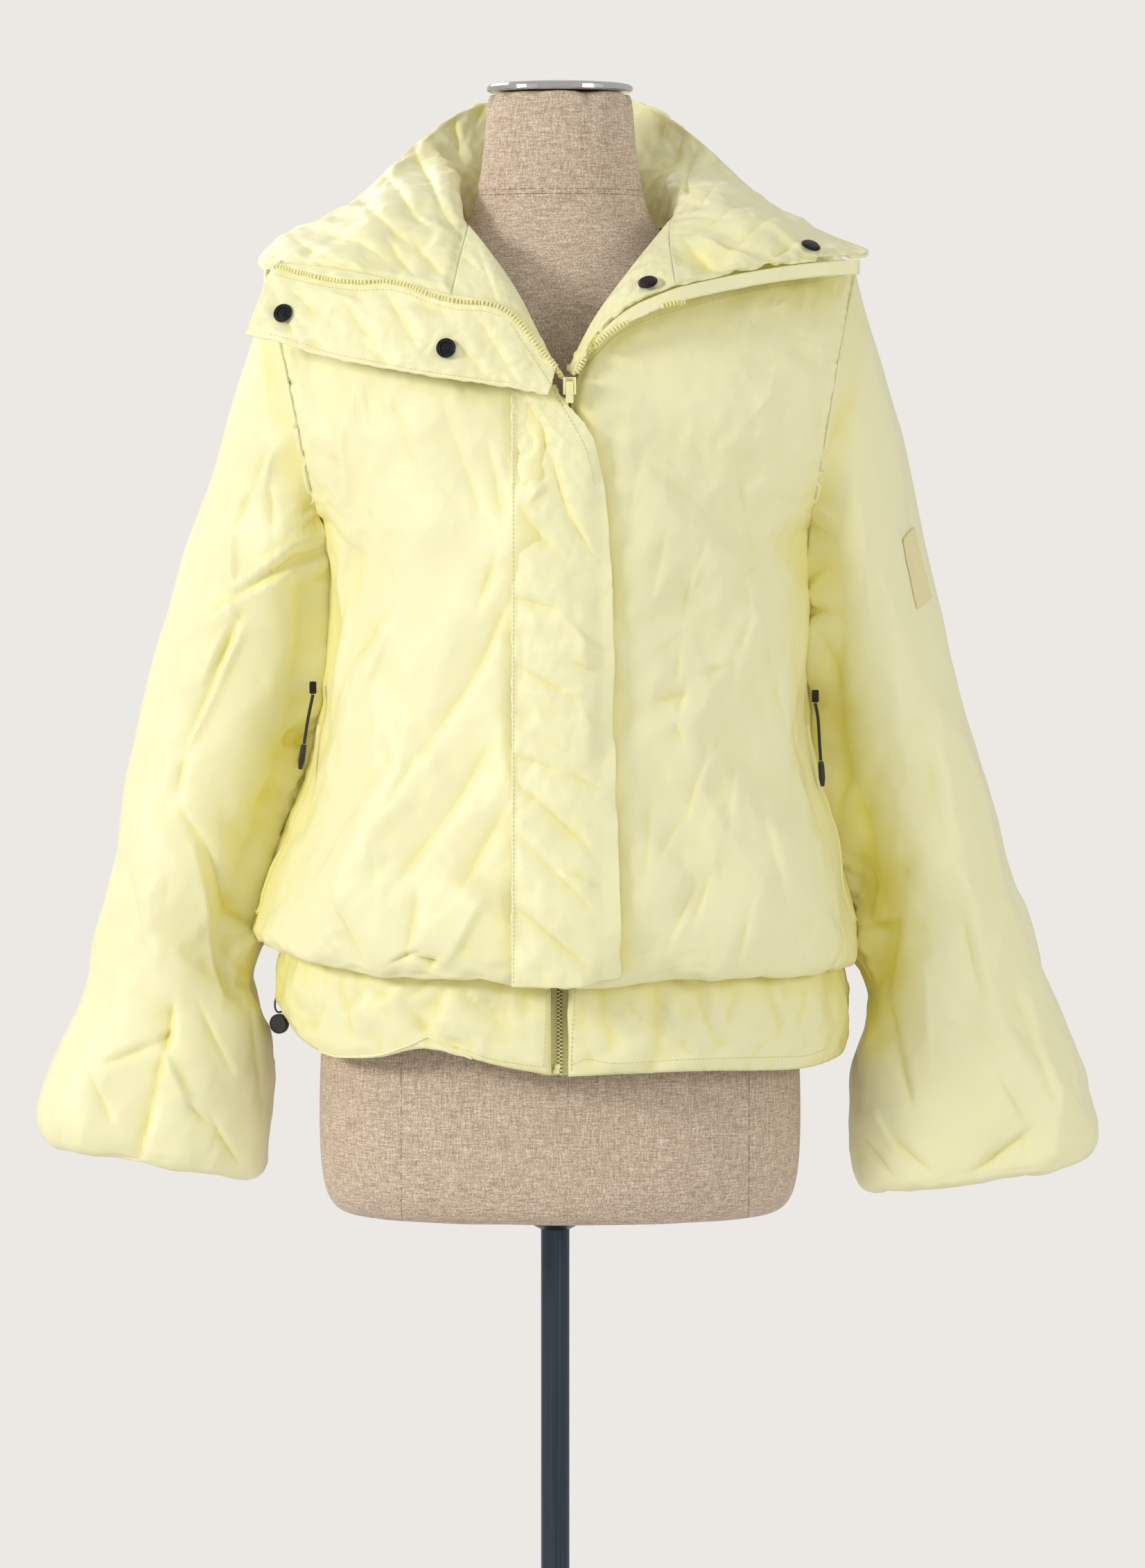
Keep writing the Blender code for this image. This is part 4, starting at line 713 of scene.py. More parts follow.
    def make(self, material_made, slot, closed=0.0):
        """The finished object, with a folded edge of the wall's thickness."""
        # Painted shade: the 'depth' attribute, read by the shell material, grows in troughs and where other
        # cloth closes in.
        depth = np.maximum(0.7 * self.hollow(24, 0.0035), 0.45 * self.hollow(6, 0.0008))
        depth = np.clip(depth + closed * 1.25, 0, 1)
        attribute = self.data.attributes.new("depth", "FLOAT", "POINT")
        attribute.data.foreach_set("value", depth)
        made = link(self.name, self.data)
        rim = made.modifiers.new("edge", "SOLIDIFY")
        rim.thickness = self.thickness * RIM_SHARE
        rim.offset = -1
        rim.use_rim_only = True
        depsgraph = bpy.context.evaluated_depsgraph_get()
        final = bpy.data.meshes.new_from_object(made.evaluated_get(depsgraph))
        made.modifiers.clear()
        made.data = final
        final.materials.clear()
        final.materials.append(material_made)
        final.shade_smooth()
        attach(made, BODY)
        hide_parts(self.node)
        return made


def tree_of(meshes):
    """One search tree of several meshes."""
    corners = []
    faces = []
    for data in meshes:
        start = len(corners)
        corners.extend(read(data.vertices, "co"))
        faces.extend([index + start for index in face.vertices] for face in data.polygons)
    return BVHTree.FromPolygons(corners, faces)


def outwards(point):
    return Vector((point.x, point.y, 0)).normalized()


def to_front(point):
    return Vector((0, -1, 0))


def upwards(point):
    return Vector((0, -0.3, 1))


def off_arm(side):
    """Outwards from the middle line of a sleeve."""
    top = Vector((side * 0.225, 0.01, 1.25))
    cuff = Vector((side * 0.300, 0.01, 0.74))

    def facing(point):
        share = min(max((point - top).dot(cuff - top) / (cuff - top).length_squared, 0), 1)
        return (point - (top + (cuff - top) * share)).normalized()
    return facing


# ---- sewing --------------------------------------------------------------------------
def through(rows, share):
    """Point at a share (0 to 1) of the smooth curve through the rows of a table."""
    rows = np.asarray(rows, float)
    last = len(rows) - 1
    place = np.clip(np.asarray(share, float), 0, 1) * last
    index = np.minimum(place.astype(int), last - 1)
    part = (place - index)[..., None]
    before, here, after, beyond = (rows[np.clip(index + k, 0, last)] for k in (-1, 0, 1, 2))
    slope = (after - before) / 2
    next_slope = (beyond - here) / 2
    return (here * (1 + 2 * part) * (1 - part) ** 2 + slope * part * (1 - part) ** 2
            + after * part ** 2 * (3 - 2 * part) + next_slope * part ** 2 * (part - 1))


def route(tree, pixels, pitch, lift):
    """Points and normals at a pitch along a line of pixels, lifted off the cloth seen there."""
    eye = Vector((VIEW_CENTRE_X, -CAMERA_DISTANCE, CAMERA_HEIGHT))
    found = []
    for px, py in through(pixels, np.linspace(0, 1, 60 * len(pixels))):
        way = (spot(px, py) - eye).normalized()
        place, normal, _, _ = tree.ray_cast(eye, way)
        if place is None:
            continue
        if normal.dot(way) > 0:
            normal = -normal
        if not found or (place - found[-1][0]).length < SAME_CLOTH:
            found.append((place, normal))
    points, normals = np.swapaxes(np.array(found), 0, 1)
    steps = np.linalg.norm(np.diff(points, axis=0), axis=1)
    far = np.concatenate([[0], np.cumsum(steps)])
    wanted = np.arange(0, far[-1], pitch)
    points, normals = (np.stack([np.interp(wanted, far, values[:, k]) for k in range(3)], axis=-1)
                       for values in (points, normals))
    normals = unit(normals)
    return points + normals * lift, normals


SAME_CLOTH = 0.02           # a seam's next point lies no further off than this
SEAM_RADIUS = 0.0018
ZIP_PROUD = 0.0014          # the teeth's middle before the tape's face
HEM_PITCH = 0.00135         # from one tooth to the next, which is the other tape's
PEG_TOP = 0.65              # a block's outer face over its inner one
PEG_FACES = [(0, 3, 2, 1), (4, 5, 6, 7)]
PEG_FACES += [(k, (k + 1) % 4, (k + 1) % 4 + 4, k + 4) for k in range(4)]


def pegs(name, routes, size, material_made, stagger=0.0):
    """Small blocks along routes, stitches or teeth: size is along, across and upwards."""
    mesh = bmesh.new()
    half = np.array(size) / 2
    for points, normals in routes:
        ways = unit(np.gradient(points, axis=0))
        for k, (point, way, normal) in enumerate(zip(points, ways, normals)):
            side = unit(np.cross(normal, way))
            centre = point + side * stagger * (1 if k % 2 else -1)
            corners = [mesh.verts.new(centre + way * x * half[0] * narrow
                                      + side * y * half[1] * narrow + normal * z * half[2])
                       for z, narrow in ((-1, 1.0), (1, PEG_TOP)) for x, y in SQUARE]
            for face in PEG_FACES:
                mesh.faces.new([corners[index] for index in face])
    return trim(into_data(mesh, name), material_made)


def trim(data, material_made, smooth=False):
    """A small part that rides with the jacket."""
    made = link(data.name, data)
    data.materials.append(material_made)
    if smooth:
        data.shade_smooth()
    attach(made, BODY)
    return made


def tube(name, paths, radius, material_made, sides=8):
    """Cords, piping or hoops: round bars that follow paths of points."""
    mesh = bmesh.new()
    for path in paths:
        path = np.asarray(path, float)
        ways = unit(np.gradient(path, axis=0))
        side = unit(np.cross(ways[0], (0.3, 1, 0.2)))
        rings = []
        for place, way in zip(path, ways):
            side = unit(side - way * (side @ way))
            other = np.cross(way, side)
            rings.append([mesh.verts.new(place + radius * (side * cos(tau * k / sides)
                                                           + other * sin(tau * k / sides)))
                          for k in range(sides)])
        for low, high in zip(rings, rings[1:]):
            for k in range(sides):
                m = (k + 1) % sides
                mesh.faces.new((low[k], low[m], high[m], high[k]))
        mesh.faces.new(rings[0][::-1])
        mesh.faces.new(rings[-1])
    return trim(into_data(mesh, name), material_made, smooth=True)


def hoops(node, radii, thickness, material_made):
    """Raised rings pressed into a snap's face."""
    points = read(frame["nodes"][node].data.vertices, "co")
    centre = (points.min(axis=0) + points.max(axis=0)) / 2
    _, _, axes = np.linalg.svd(points - points.mean(axis=0))
    normal = axes[2] * (1 if axes[2][1] < 0 else -1)
    top = ((points - centre) @ normal).max()
    turns = np.linspace(0, tau, 33)[:, None]
    paths = [centre + normal * (top + drop) + radius * (np.cos(turns) * axes[0]
                                                       + np.sin(turns) * axes[1])
             for radius, drop in radii]
    return tube(node + "_rings", paths, thickness, material_made, sides=6)


def zip_chain(tape_points):
    """Where the closed zip's teeth stand: before the tape, from the hem to the slider."""
    tape_points = tape_points[np.argsort(tape_points[:, 2])]
    heights = np.arange(tape_points[0, 2] + 0.001, tape_points[-1, 2], HEM_PITCH)
    depths = np.interp(heights, tape_points[:, 2], tape_points[:, 1]) - ZIP_PROUD
    points = np.stack([np.zeros(len(heights)), depths, heights], axis=-1)
    return points, np.broadcast_to((0.0, -1.0, 0.0), points.shape)


def dress_form(material_made):
    """The form with a smooth surface."""
    data = refined(into_data(quads("dress_form"), "form_cage"), 2)
    data.name = "linen_form"
    data.materials.clear()
    made = trim(data, material_made, smooth=True)
    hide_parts("dress_form")


# The cords' middle lines, as in the part's source.
CORD_RADIUS = 0.0012
LOOP_RADIUS = 0.0007
POCKET_CORD = {
    "right": ((-0.1765, -0.0400, 1.0800), (-0.1782, -0.0412, 1.0720),
              (-0.1798, -0.0420, 1.0640), (-0.1812, -0.0425, 1.0555),
              (-0.1828, -0.0428, 1.0450)),
    "left": ((0.1825, -0.0410, 1.0740), (0.1842, -0.0422, 1.0650), (0.1850, -0.0430, 1.0550),
             (0.1856, -0.0434, 1.0440), (0.1864, -0.0436, 1.0330)),
}
TOGGLE_LOOP = (
    (-0.2026, -0.0203, 0.8660), (-0.2040, -0.0204, 0.8620), (-0.2050, -0.0206, 0.8580),
    (-0.2049, -0.0208, 0.8538), (-0.2037, -0.0210, 0.8514), (-0.2019, -0.0210, 0.8508),
    (-0.2000, -0.0208, 0.8513), (-0.1982, -0.0204, 0.8526), (-0.1968, -0.0200, 0.8550),
    (-0.1964, -0.0197, 0.8590), (-0.1964, -0.0195, 0.8650), (-0.1967, -0.0195, 0.8720),
    (-0.1978, -0.0195, 0.8780),
)


def free_cord(name, node, row, radius, look):
    """A braided cord in the place of its solid."""
    path = through(row, np.linspace(0, 1, 40))
    made = tube(name, [path], radius, look, sides=12)
    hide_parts(node)


def cords():
    """The two pocket pulls' cords, and the toggle's elastic loop."""
    look = braid_material()
    for side, row in POCKET_CORD.items():
        free_cord("pocket_pull_cord_" + side, "pocket_cord_" + side, row, CORD_RADIUS,
                  look)
    free_cord("toggle_elastic", "hem_toggle_loop", TOGGLE_LOOP, LOOP_RADIUS,
              look)


# Folds seen in the photograph, in its pixels: x0, y0, x1, y1, half width, depth in mm.
FOLDS = {
    "sleeve_right": (
        (392, 494, 413, 623, 15, 2.6), (413, 623, 419, 712, 13, 2.4), (392, 619, 368, 708, 7, -2.4),
        (374, 705, 380, 760, 6, 2.0), (372, 650, 346, 712, 7, 2.2), (346, 712, 328, 757, 6, 2.0),
        (328, 757, 326, 846, 8, -2.4), (328, 846, 430, 772, 6, -2.6), (323, 872, 432, 815, 6, -2.4),
        (326, 860, 430, 795, 5, 1.8), (256, 927, 323, 872, 6, -1.4), (323, 873, 332, 895, 6, -2.0),
        (332, 897, 300, 985, 9, 3.2), (300, 985, 262, 1078, 9, 3.2), (262, 1078, 246, 1150, 9, 2.8),
        (318, 905, 284, 990, 7, -2.4), (341, 909, 301, 1007, 7, -2.6), (301, 1007, 256, 1100, 7, -2.4),
        (247, 1170, 290, 1230, 8, 2.6), (290, 1230, 335, 1340, 9, 3.0), (335, 1340, 388, 1430, 8, 2.6),
        (270, 1225, 300, 1380, 7, -2.4), (300, 1380, 316, 1450, 6, -2.0), (240, 1462, 237, 1502, 6, 2.6),
        (237, 1500, 216, 1590, 7, 3.0), (216, 1590, 195, 1690, 7, 2.8), (150, 1545, 220, 1514, 6, 2.2),
        (222, 1515, 240, 1497, 5, 2.0), (225, 1520, 265, 1606, 6, -2.4), (262, 1600, 300, 1640, 5, 2.0),
        (300, 1625, 340, 1690, 5, 2.2), (120, 1560, 160, 1640, 7, 1.8), (180, 1250, 205, 1400, 10, 1.8),
        (210, 1120, 190, 1260, 9, -1.6), (355, 1470, 372, 1600, 7, 2.2), (280, 1460, 330, 1560, 7, 1.8),
    ),
    "sleeve_left": (
        (1236, 590, 1215, 705, 9, 2.8), (1225, 430, 1212, 560, 10, 2.2), (1212, 560, 1188, 690, 9, 2.0),
        (1180, 700, 1216, 708, 6, 2.8), (1186, 735, 1206, 800, 7, 2.2), (1208, 800, 1196, 860, 7, -2.0),
        (1188, 866, 1214, 882, 7, 3.4), (1214, 884, 1192, 905, 7, 3.0), (1214, 905, 1222, 1040, 10, 1.8),
        (1250, 700, 1262, 880, 12, -1.6), (1222, 1050, 1250, 1200, 9, 2.0),
        (1265, 1238, 1282, 1332, 7, 2.6), (1280, 1335, 1304, 1330, 5, 2.2),
        (1303, 1330, 1285, 1440, 7, 2.8), (1290, 1445, 1308, 1520, 7, 2.4),
        (1308, 1520, 1326, 1602, 7, 2.4), (1400, 1318, 1426, 1442, 9, 2.2),
        (1410, 1697, 1486, 1644, 6, 2.8), (1440, 1560, 1486, 1644, 7, -1.8),
        (1250, 1640, 1290, 1700, 5, 2.2), (1270, 1610, 1310, 1690, 5, -1.8),
        (1300, 1650, 1350, 1700, 6, 2.0), (1350, 1100, 1380, 1240, 12, 1.6),
        (1330, 760, 1342, 900, 12, 1.4), (1480, 1440, 1530, 1600, 9, 1.8), (1234, 1480, 1250, 1600, 7, 2.2),
        (1345, 1400, 1352, 1560, 10, -1.6), (1300, 980, 1320, 1120, 12, -1.4),
    ),
    "front_right": (
        (506, 552, 511, 614, 6, -1.2), (495, 600, 502, 712, 7, -1.4), (546, 895, 506, 962, 9, 2.2),
        (506, 962, 480, 1025, 8, 2.0), (560, 915, 525, 1010, 7, -1.6), (470, 1010, 462, 1080, 6, 2.2),
        (700, 950, 610, 1080, 12, 2.8), (610, 1080, 545, 1180, 12, 2.4), (700, 1080, 640, 1180, 10, 2.6),
        (640, 1180, 560, 1290, 11, 2.2), (720, 1180, 660, 1290, 9, 2.2), (600, 1290, 580, 1395, 8, 2.4),
        (700, 1300, 640, 1395, 8, -2.0), (560, 560, 600, 700, 14, 1.8), (640, 600, 700, 760, 14, 1.8),
        (700, 640, 730, 760, 8, 1.8), (716, 800, 690, 880, 7, 1.8), (728, 880, 690, 960, 7, 2.0),
        (450, 1100, 420, 1200, 9, 2.2), (560, 1400, 600, 1380, 6, 2.4), (600, 1392, 625, 1402, 5, 2.6),
        (625, 1388, 618, 1408, 5, 2.4), (470, 1300, 520, 1400, 9, 1.8), (520, 760, 500, 880, 12, 1.6),
    ),
    "front_left": (
        (1136, 547, 1085, 599, 9, -1.8), (1092, 647, 1066, 681, 8, 2.0), (1066, 681, 1085, 762, 8, 2.2),
        (1085, 762, 1093, 800, 7, 1.8), (1022, 777, 996, 836, 6, 2.2), (996, 836, 985, 895, 6, 2.4),
        (1011, 800, 992, 875, 5, -1.6), (1096, 814, 1072, 836, 5, 2.0), (1072, 836, 1077, 891, 5, 2.2),
        (1077, 865, 1103, 932, 6, -1.8), (1103, 932, 1112, 970, 5, 2.0), (1112, 970, 1129, 1058, 6, 1.8),
        (1077, 895, 1062, 939, 5, 2.2), (985, 925, 974, 984, 5, 2.2), (1011, 969, 1044, 962, 4, 2.0),
        (951, 1010, 992, 999, 4, 2.0), (992, 984, 977, 1032, 5, 2.2), (970, 1032, 985, 1076, 5, 2.0),
        (1118, 973, 1120, 1010, 4, 1.8), (1044, 1058, 1029, 1087, 4, 1.8), (960, 770, 940, 870, 8, 1.8),
        (1020, 1080, 990, 1180, 6, 2.2), (1060, 1090, 1050, 1200, 6, 2.0), (1005, 1270, 960, 1370, 6, 2.6),
        (1020, 1268, 1000, 1332, 5, 2.4), (1100, 1180, 1130, 1300, 8, 2.0), (940, 1150, 930, 1260, 6, 2.0),
        (1160, 1080, 1180, 1200, 7, 2.0), (985, 1180, 950, 1240, 5, 1.8), (930, 640, 905, 760, 14, 2.0),
        (1180, 1300, 1150, 1400, 7, 2.0), (1080, 1310, 1060, 1400, 6, 2.0),
        (1140, 900, 1150, 1030, 10, 1.6), (1000, 620, 1040, 740, 14, 1.2),
    ),
    "placket": (
        (755, 572, 796, 666, 9, 3.0), (796, 666, 822, 747, 8, 3.0), (822, 747, 855, 799, 7, 2.8),
        (855, 799, 885, 826, 6, 2.4), (787, 700, 766, 722, 6, -1.8), (740, 740, 818, 812, 8, 1.8),
        (818, 895, 892, 976, 8, -2.6), (833, 958, 892, 980, 6, 2.2), (740, 860, 800, 880, 8, 1.8),
        (848, 1036, 889, 1078, 6, -2.2), (745, 960, 830, 1010, 9, 2.0), (770, 1000, 835, 1000, 6, -1.6),
        (742, 1090, 800, 1110, 7, 1.6), (745, 1130, 880, 1250, 8, 2.4), (750, 1210, 870, 1330, 8, 2.2),
        (745, 1310, 850, 1400, 7, 2.2), (830, 1120, 888, 1150, 6, 1.8), (800, 1260, 892, 1290, 6, -1.8),
        (742, 640, 758, 700, 7, 1.6), (870, 690, 884, 730, 5, 1.8),
    ),
    "collar_flap": (
        (420, 420, 480, 470, 8, 2.4), (395, 420, 432, 500, 6, 2.2), (500, 440, 540, 500, 8, 2.2),
        (560, 430, 600, 500, 9, 2.6), (600, 440, 650, 450, 8, 2.0), (660, 500, 700, 540, 8, 2.2),
        (440, 490, 470, 500, 5, 1.8), (530, 500, 560, 530, 5, 1.8), (690, 460, 740, 540, 9, 2.2),
        (470, 425, 520, 440, 6, -1.8),
    ),
    "collar": (
        (600, 222, 640, 300, 10, 3.2), (640, 300, 672, 345, 9, 3.0), (560, 262, 620, 330, 9, 2.6),
        (520, 290, 590, 350, 9, 2.6), (470, 330, 560, 372, 8, 2.2), (430, 350, 500, 392, 7, 2.0),
        (655, 165, 672, 230, 8, 2.6), (640, 175, 610, 215, 7, -2.0), (590, 230, 560, 280, 7, -1.8),
        (600, 350, 640, 400, 7, 2.2), (560, 345, 600, 400, 6, 1.8), (985, 190, 965, 240, 9, 2.8),
        (1005, 215, 975, 300, 9, 2.6), (1040, 260, 985, 310, 8, 2.4), (1080, 290, 990, 340, 8, 2.2),
        (1120, 310, 1040, 370, 8, 2.2), (1160, 340, 1080, 395, 7, 2.0), (985, 345, 1050, 400, 7, 2.2),
        (1010, 345, 1100, 385, 6, -1.8), (960, 165, 945, 200, 6, 2.0), (1190, 362, 1130, 395, 6, 1.8),
        (700, 150, 690, 185, 6, 2.0),
    ),
    "lapel_right": (
        (690, 360, 720, 440, 7, 2.2), (668, 372, 700, 396, 5, 2.0), (672, 380, 720, 400, 5, -1.6),
        (740, 440, 790, 510, 6, 1.8),
    ),
    "lapel_left": (
        (935, 452, 905, 492, 6, 2.0), (960, 375, 930, 410, 5, 1.8), (900, 440, 872, 480, 5, 1.8),
        (950, 400, 964, 420, 5, 1.8),
    ),
    "hem_band_right": (
        (520, 1432, 500, 1460, 6, 3.0), (500, 1460, 512, 1500, 6, 2.8), (560, 1430, 540, 1450, 6, 2.2),
        (600, 1470, 617, 1498, 6, 3.0), (640, 1430, 625, 1480, 6, 2.2), (670, 1430, 700, 1470, 6, 2.6),
        (700, 1440, 720, 1480, 6, 2.2), (732, 1432, 740, 1500, 5, 2.2), (760, 1440, 765, 1520, 5, 1.8),
        (470, 1440, 455, 1490, 6, 2.0), (640, 1500, 670, 1510, 5, 1.8), (695, 1480, 680, 1520, 5, 1.8),
    ),
    "hem_band_left": (
        (870, 1440, 880, 1500, 5, 2.2), (900, 1438, 930, 1480, 5, 2.0), (960, 1440, 950, 1500, 6, 2.0),
        (1010, 1440, 1030, 1500, 6, 2.0), (1060, 1436, 1050, 1490, 6, 2.2),
        (1110, 1434, 1130, 1490, 6, 2.0), (1160, 1430, 1150, 1500, 6, 2.0),
        (1195, 1425, 1205, 1480, 5, 2.0), (840, 1445, 850, 1530, 5, 2.0), (985, 1500, 1000, 1530, 4, 1.6),
    ),
}

# Sewing, in the photograph's pixels.
ZIP_RIGHT = ((403, 387), (440, 398), (480, 406), (520, 410), (560, 409), (590, 415),
             (620, 427), (660, 437), (700, 440), (725, 447), (745, 462), (760, 480),
             (780, 505), (800, 530), (811, 546))
ZIP_LEFT = ((831, 537), (840, 524), (852, 508), (866, 492), (880, 482), (904, 467))
ZIP_LEFT_FAR = ((955, 443), (985, 436), (1010, 431))
ZIP_STOP = ((395, 386), (399, 387), (402, 387))
HEM_ZIP_BOX = ((804, 1541), (803, 1545), (802, 1549))
STITCH_LINES = (
    ((392, 484), (430, 494), (480, 511), (530, 521), (580, 531), (640, 541), (700, 549),
     (735, 553)),
    ((398, 398), (440, 409), (480, 417), (520, 421), (560, 420), (590, 426), (620, 438),
     (660, 448), (700, 451), (722, 458)),
    ((738, 470), (752, 492), (772, 522), (792, 552), (812, 588), (832, 622), (846, 652),
     (858, 700)),
    ((852, 524), (880, 494), (910, 474), (950, 458), (1000, 443), (1060, 428), (1110, 418),
     (1160, 411), (1200, 403), (1228, 396)),
    ((836, 541), (846, 532), (862, 512), (884, 490)),
    ((741, 600), (741, 800), (741, 1000), (741, 1200), (741, 1424)),
    ((830, 1536), (848, 1530), (890, 1536), (1000, 1530), (1120, 1527), (1165, 1525),
     (1192, 1515)),
    ((655, 1512), (710, 1530), (750, 1537), (786, 1541)),
    ((789, 1434), (787, 1480), (784, 1540)),
    ((830, 1434), (826, 1480), (824, 1545)),
)
HEM_PIPING = ((460, 1517), (475, 1525), (540, 1525), (580, 1513), (604, 1503), (617, 1497),
              (632, 1504), (660, 1520), (690, 1533))


# Facets: the size of their cells, how far they are drawn out, and their depth.
BROAD = ((0.075, 2.4, 0.0060), (0.034, 2.0, 0.0024))
CLOSE = ((0.050, 2.2, 0.0042), (0.024, 1.8, 0.0017))
SMALL = ((0.030, 2.2, 0.0028), (0.016, 1.6, 0.0010))
FINE = 4
MIDDLE = 3
# Each sheet, then what it is made of: its facing, the solid's wall thicknesses and
# subdivisions; how much too large it is, how firmly it is held in place, and the furthest
# that it may move; its small creases' number, turn from upright and spread in degrees, the
# folds' depth over the table's, and the depth of the gathers along the seams in
# millimetres; its facets, and the folds' way in degrees from upright.
PIECES = {
    "front_right": (outwards, (0.003,), FINE, (0.028, 0.06, 0.0055), (70, -35, 30, 1.6, 1.3), BROAD, 35),
    "front_left": (outwards, (0.003,), FINE, (0.014, 0.07, 0.0040), (130, 20, 35, 0.8, 1.2), CLOSE, 15),
    "back": (outwards, (0.003,), MIDDLE, (0.026, 0.05, 0.0055), (90, 0, 50, 1.0, 1.4), BROAD, 0),
    "sleeve_right": (off_arm(-1), (0.003,), FINE, (0.034, 0.05, 0.0060), (80, 20, 40, 1.8, 1.4), BROAD, 28),
    "sleeve_left": (off_arm(1), (0.003,), FINE, (0.026, 0.05, 0.0055), (70, -15, 40, 1.4, 1.4), BROAD, -12),
    "hem_band_right": (outwards, (0.003,), MIDDLE, (0.040, 0.12, 0.0040), (26, 0, 25, 1.2, 1.5), SMALL, 8),
    "hem_band_left": (outwards, (0.003,), MIDDLE, (0.035, 0.12, 0.0040), (26, 0, 25, 1.1, 1.5), SMALL, -5),
    "hem_band_back": (outwards, (0.003,), MIDDLE, (0.040, 0.12, 0.0040), (50, 0, 25, 1.0, 1.5), SMALL, 0),
    "collar": (upwards, (0.004,), FINE, (0.040, 0.08, 0.0060), (60, 50, 25, 1.6, 0.9), CLOSE, 45),
    "lapel_right": (upwards, (0.0032,), MIDDLE, (0.020, 0.30, 0.0025), (8, 30, 30, 1.0, 0.4), (), 0),
    "lapel_left": (upwards, (0.0032,), MIDDLE, (0.020, 0.30, 0.0025), (8, -30, 30, 1.0, 0.4), (), 0),
    "collar_flap": (to_front, (0.0022,), FINE, (0.030, 0.15, 0.0035), (14, 30, 40, 1.2, 0.5), SMALL, -40),
    "placket": (to_front, (0.0018, 0.0040), FINE, (0.012, 0.15, 0.0030),
                (22, -50, 30, 1.7, 0.9), SMALL, -35),
}
FRONTS = ("front_right", "front_left")
BODY_PANELS = FRONTS + ("back",)
SLEEVES = ("sleeve_right", "sleeve_left")
LINED = ("collar", "lapel_right", "lapel_left")     # these show their lining side
# Narrow pieces that are sewn on: the wall's thickness, what they lie on, and how high.
SEWN_ON = {
    "sleeve_patch": (0.0012, "sleeve_left", 0.0013),
    "pocket_welt_right": (0.0020, "front_right", 0.0016),
    "pocket_welt_left": (0.0020, "front_left", 0.0016),
}
CREASE_LENGTH = (0.012, 0.050)
CREASE_WIDTH = (0.0016, 0.0045)
CREASE_DEPTH = (0.0003, 0.0010)
ARMHOLE = (0.026, -0.0008)  # a sleeve this near the body meets it, and goes in this far
ROLL_FROM, ROLL_TO = 0.014, 0.032       # x between which the placket's free edge rolls in
ROLL = (0.040, 0.0046)


def worked_sheet(seed, node):
    """A sheet of the table, with its folds, creases, gathers and facets."""
    facing, walls, levels, ease, (count, turn, spread, deeper, gathers), facets, way = PIECES[node]
    sheet = Sheet(node + "_cloth", node, facing, walls, levels, ease)
    sheet.press(FOLDS.get(node, ()), deeper)
    sheet.crinkle(seed, count, CREASE_LENGTH, CREASE_WIDTH, CREASE_DEPTH, turn, spread)
    sheet.pucker(gathers * 0.001, 0.0055, 0.008)
    for octave, (cell, stretch, depth) in enumerate(facets):
        sheet.facet(seed + 40 * octave, cell, stretch, depth, way, node == "collar")
    return sheet


def join_up(sheets):
    """Close the armholes, and roll the placket's free edge in to the left front."""
    body_tree = tree_of(sheets[node].data for node in BODY_PANELS)
    for node in SLEEVES:
        sheets[node].meet(body_tree, *ARMHOLE)
    placket = sheets["placket"]
    rolled = blend(ROLL_FROM, ROLL_TO, placket.points[:, 0])
    placket.meet(tree_of([sheets["front_left"].data]), *ROLL, rolled)


def sew_on(sheets):
    """Add the badge, the pocket welts and the edge strip."""
    for node, (wall, under, lift) in SEWN_ON.items():
        strip = Sheet(node + "_cloth", node, to_front, (wall,), 4)
        strip.lie_on(tree_of([sheets[under].data]), lift)
        sheets[node] = strip
    strip = Sheet("edge_strip_left_cloth", "edge_strip_left", to_front, (0.0022,), MIDDLE)
    strip.pucker(0.0004, 0.0050, 0.006)
    sheets["edge_strip_left"] = strip


def armhole_seam(node, sheet, look):
    """An armhole's bound seam, which lies in the joint."""
    rim = sheet.upper_rim()[::2]
    rim.append(rim[0])
    seam = sheet.points[rim] - sheet.normals[rim] * SEAM_RADIUS
    tube(node + "_seam", [seam], SEAM_RADIUS, look)


def zip_tape(seed, node, look):
    """One side's tape of the closed zip."""
    ribbon = Sheet(node + "_cloth", node, to_front, (0.0012,), MIDDLE)
    ribbon.crinkle(seed, 16, (0.010, 0.030), (0.0012, 0.0030), (0.0001, 0.0003))
    return ribbon.points, ribbon.make(look, "tape")


def garment(look):
    """Every cloth piece. Returns the objects, and the points of the left zip tape."""
    sheets = {node: worked_sheet(seed, node) for seed, node in enumerate(PIECES)}
    join_up(sheets)
    sew_on(sheets)
    everything = tree_of(sheet.data for sheet in sheets.values())
    badge = ribbed("patch_twill", 480.0, "DIAGONAL", 0.2, PATCH_LEMON, 0.0002, Roughness=0.6)
    cloths = []
    # Each cloth's painted shade comes from how far the other cloth closes it in.
    for node, sheet in sheets.items():
        cloths.append(sheet.make(badge if node == "sleeve_patch" else look,
                                 "lining" if node in LINED else "cloth",
                                 sheet.closed_in(everything)))
    for node in SLEEVES:
        armhole_seam(node, sheets[node], look)
    tape = ribbed("zip_tape_lemon", 260.0, "Z", 0.4, TAPE_LEMON, 0.0003, Roughness=0.7)
    for seed, side in enumerate(("right", "left")):
        tape_points, made = zip_tape(seed, "zip_tape_" + side, tape)
        cloths.append(made)
    return cloths, tape_points


SNAP_NODES = ("snap_socket_outer", "snap_socket_inner", "snap_cap_inner", "snap_cap_outer")
METAL_NODES = SNAP_NODES + ("pocket_slider_right", "pocket_slider_left")
PLASTIC_NODES = ("pocket_tip_right", "pocket_tip_left", "hem_toggle")
# The rings on the snaps' faces: radius, and height over the face.
SNAP_RINGS = {
    "snap_socket": (((0.0060, 0.0), (0.0044, 0.0), (0.0018, -0.0008)), 0.0004),
    "snap_cap": (((0.0050, -0.0005),), 0.0003),
}


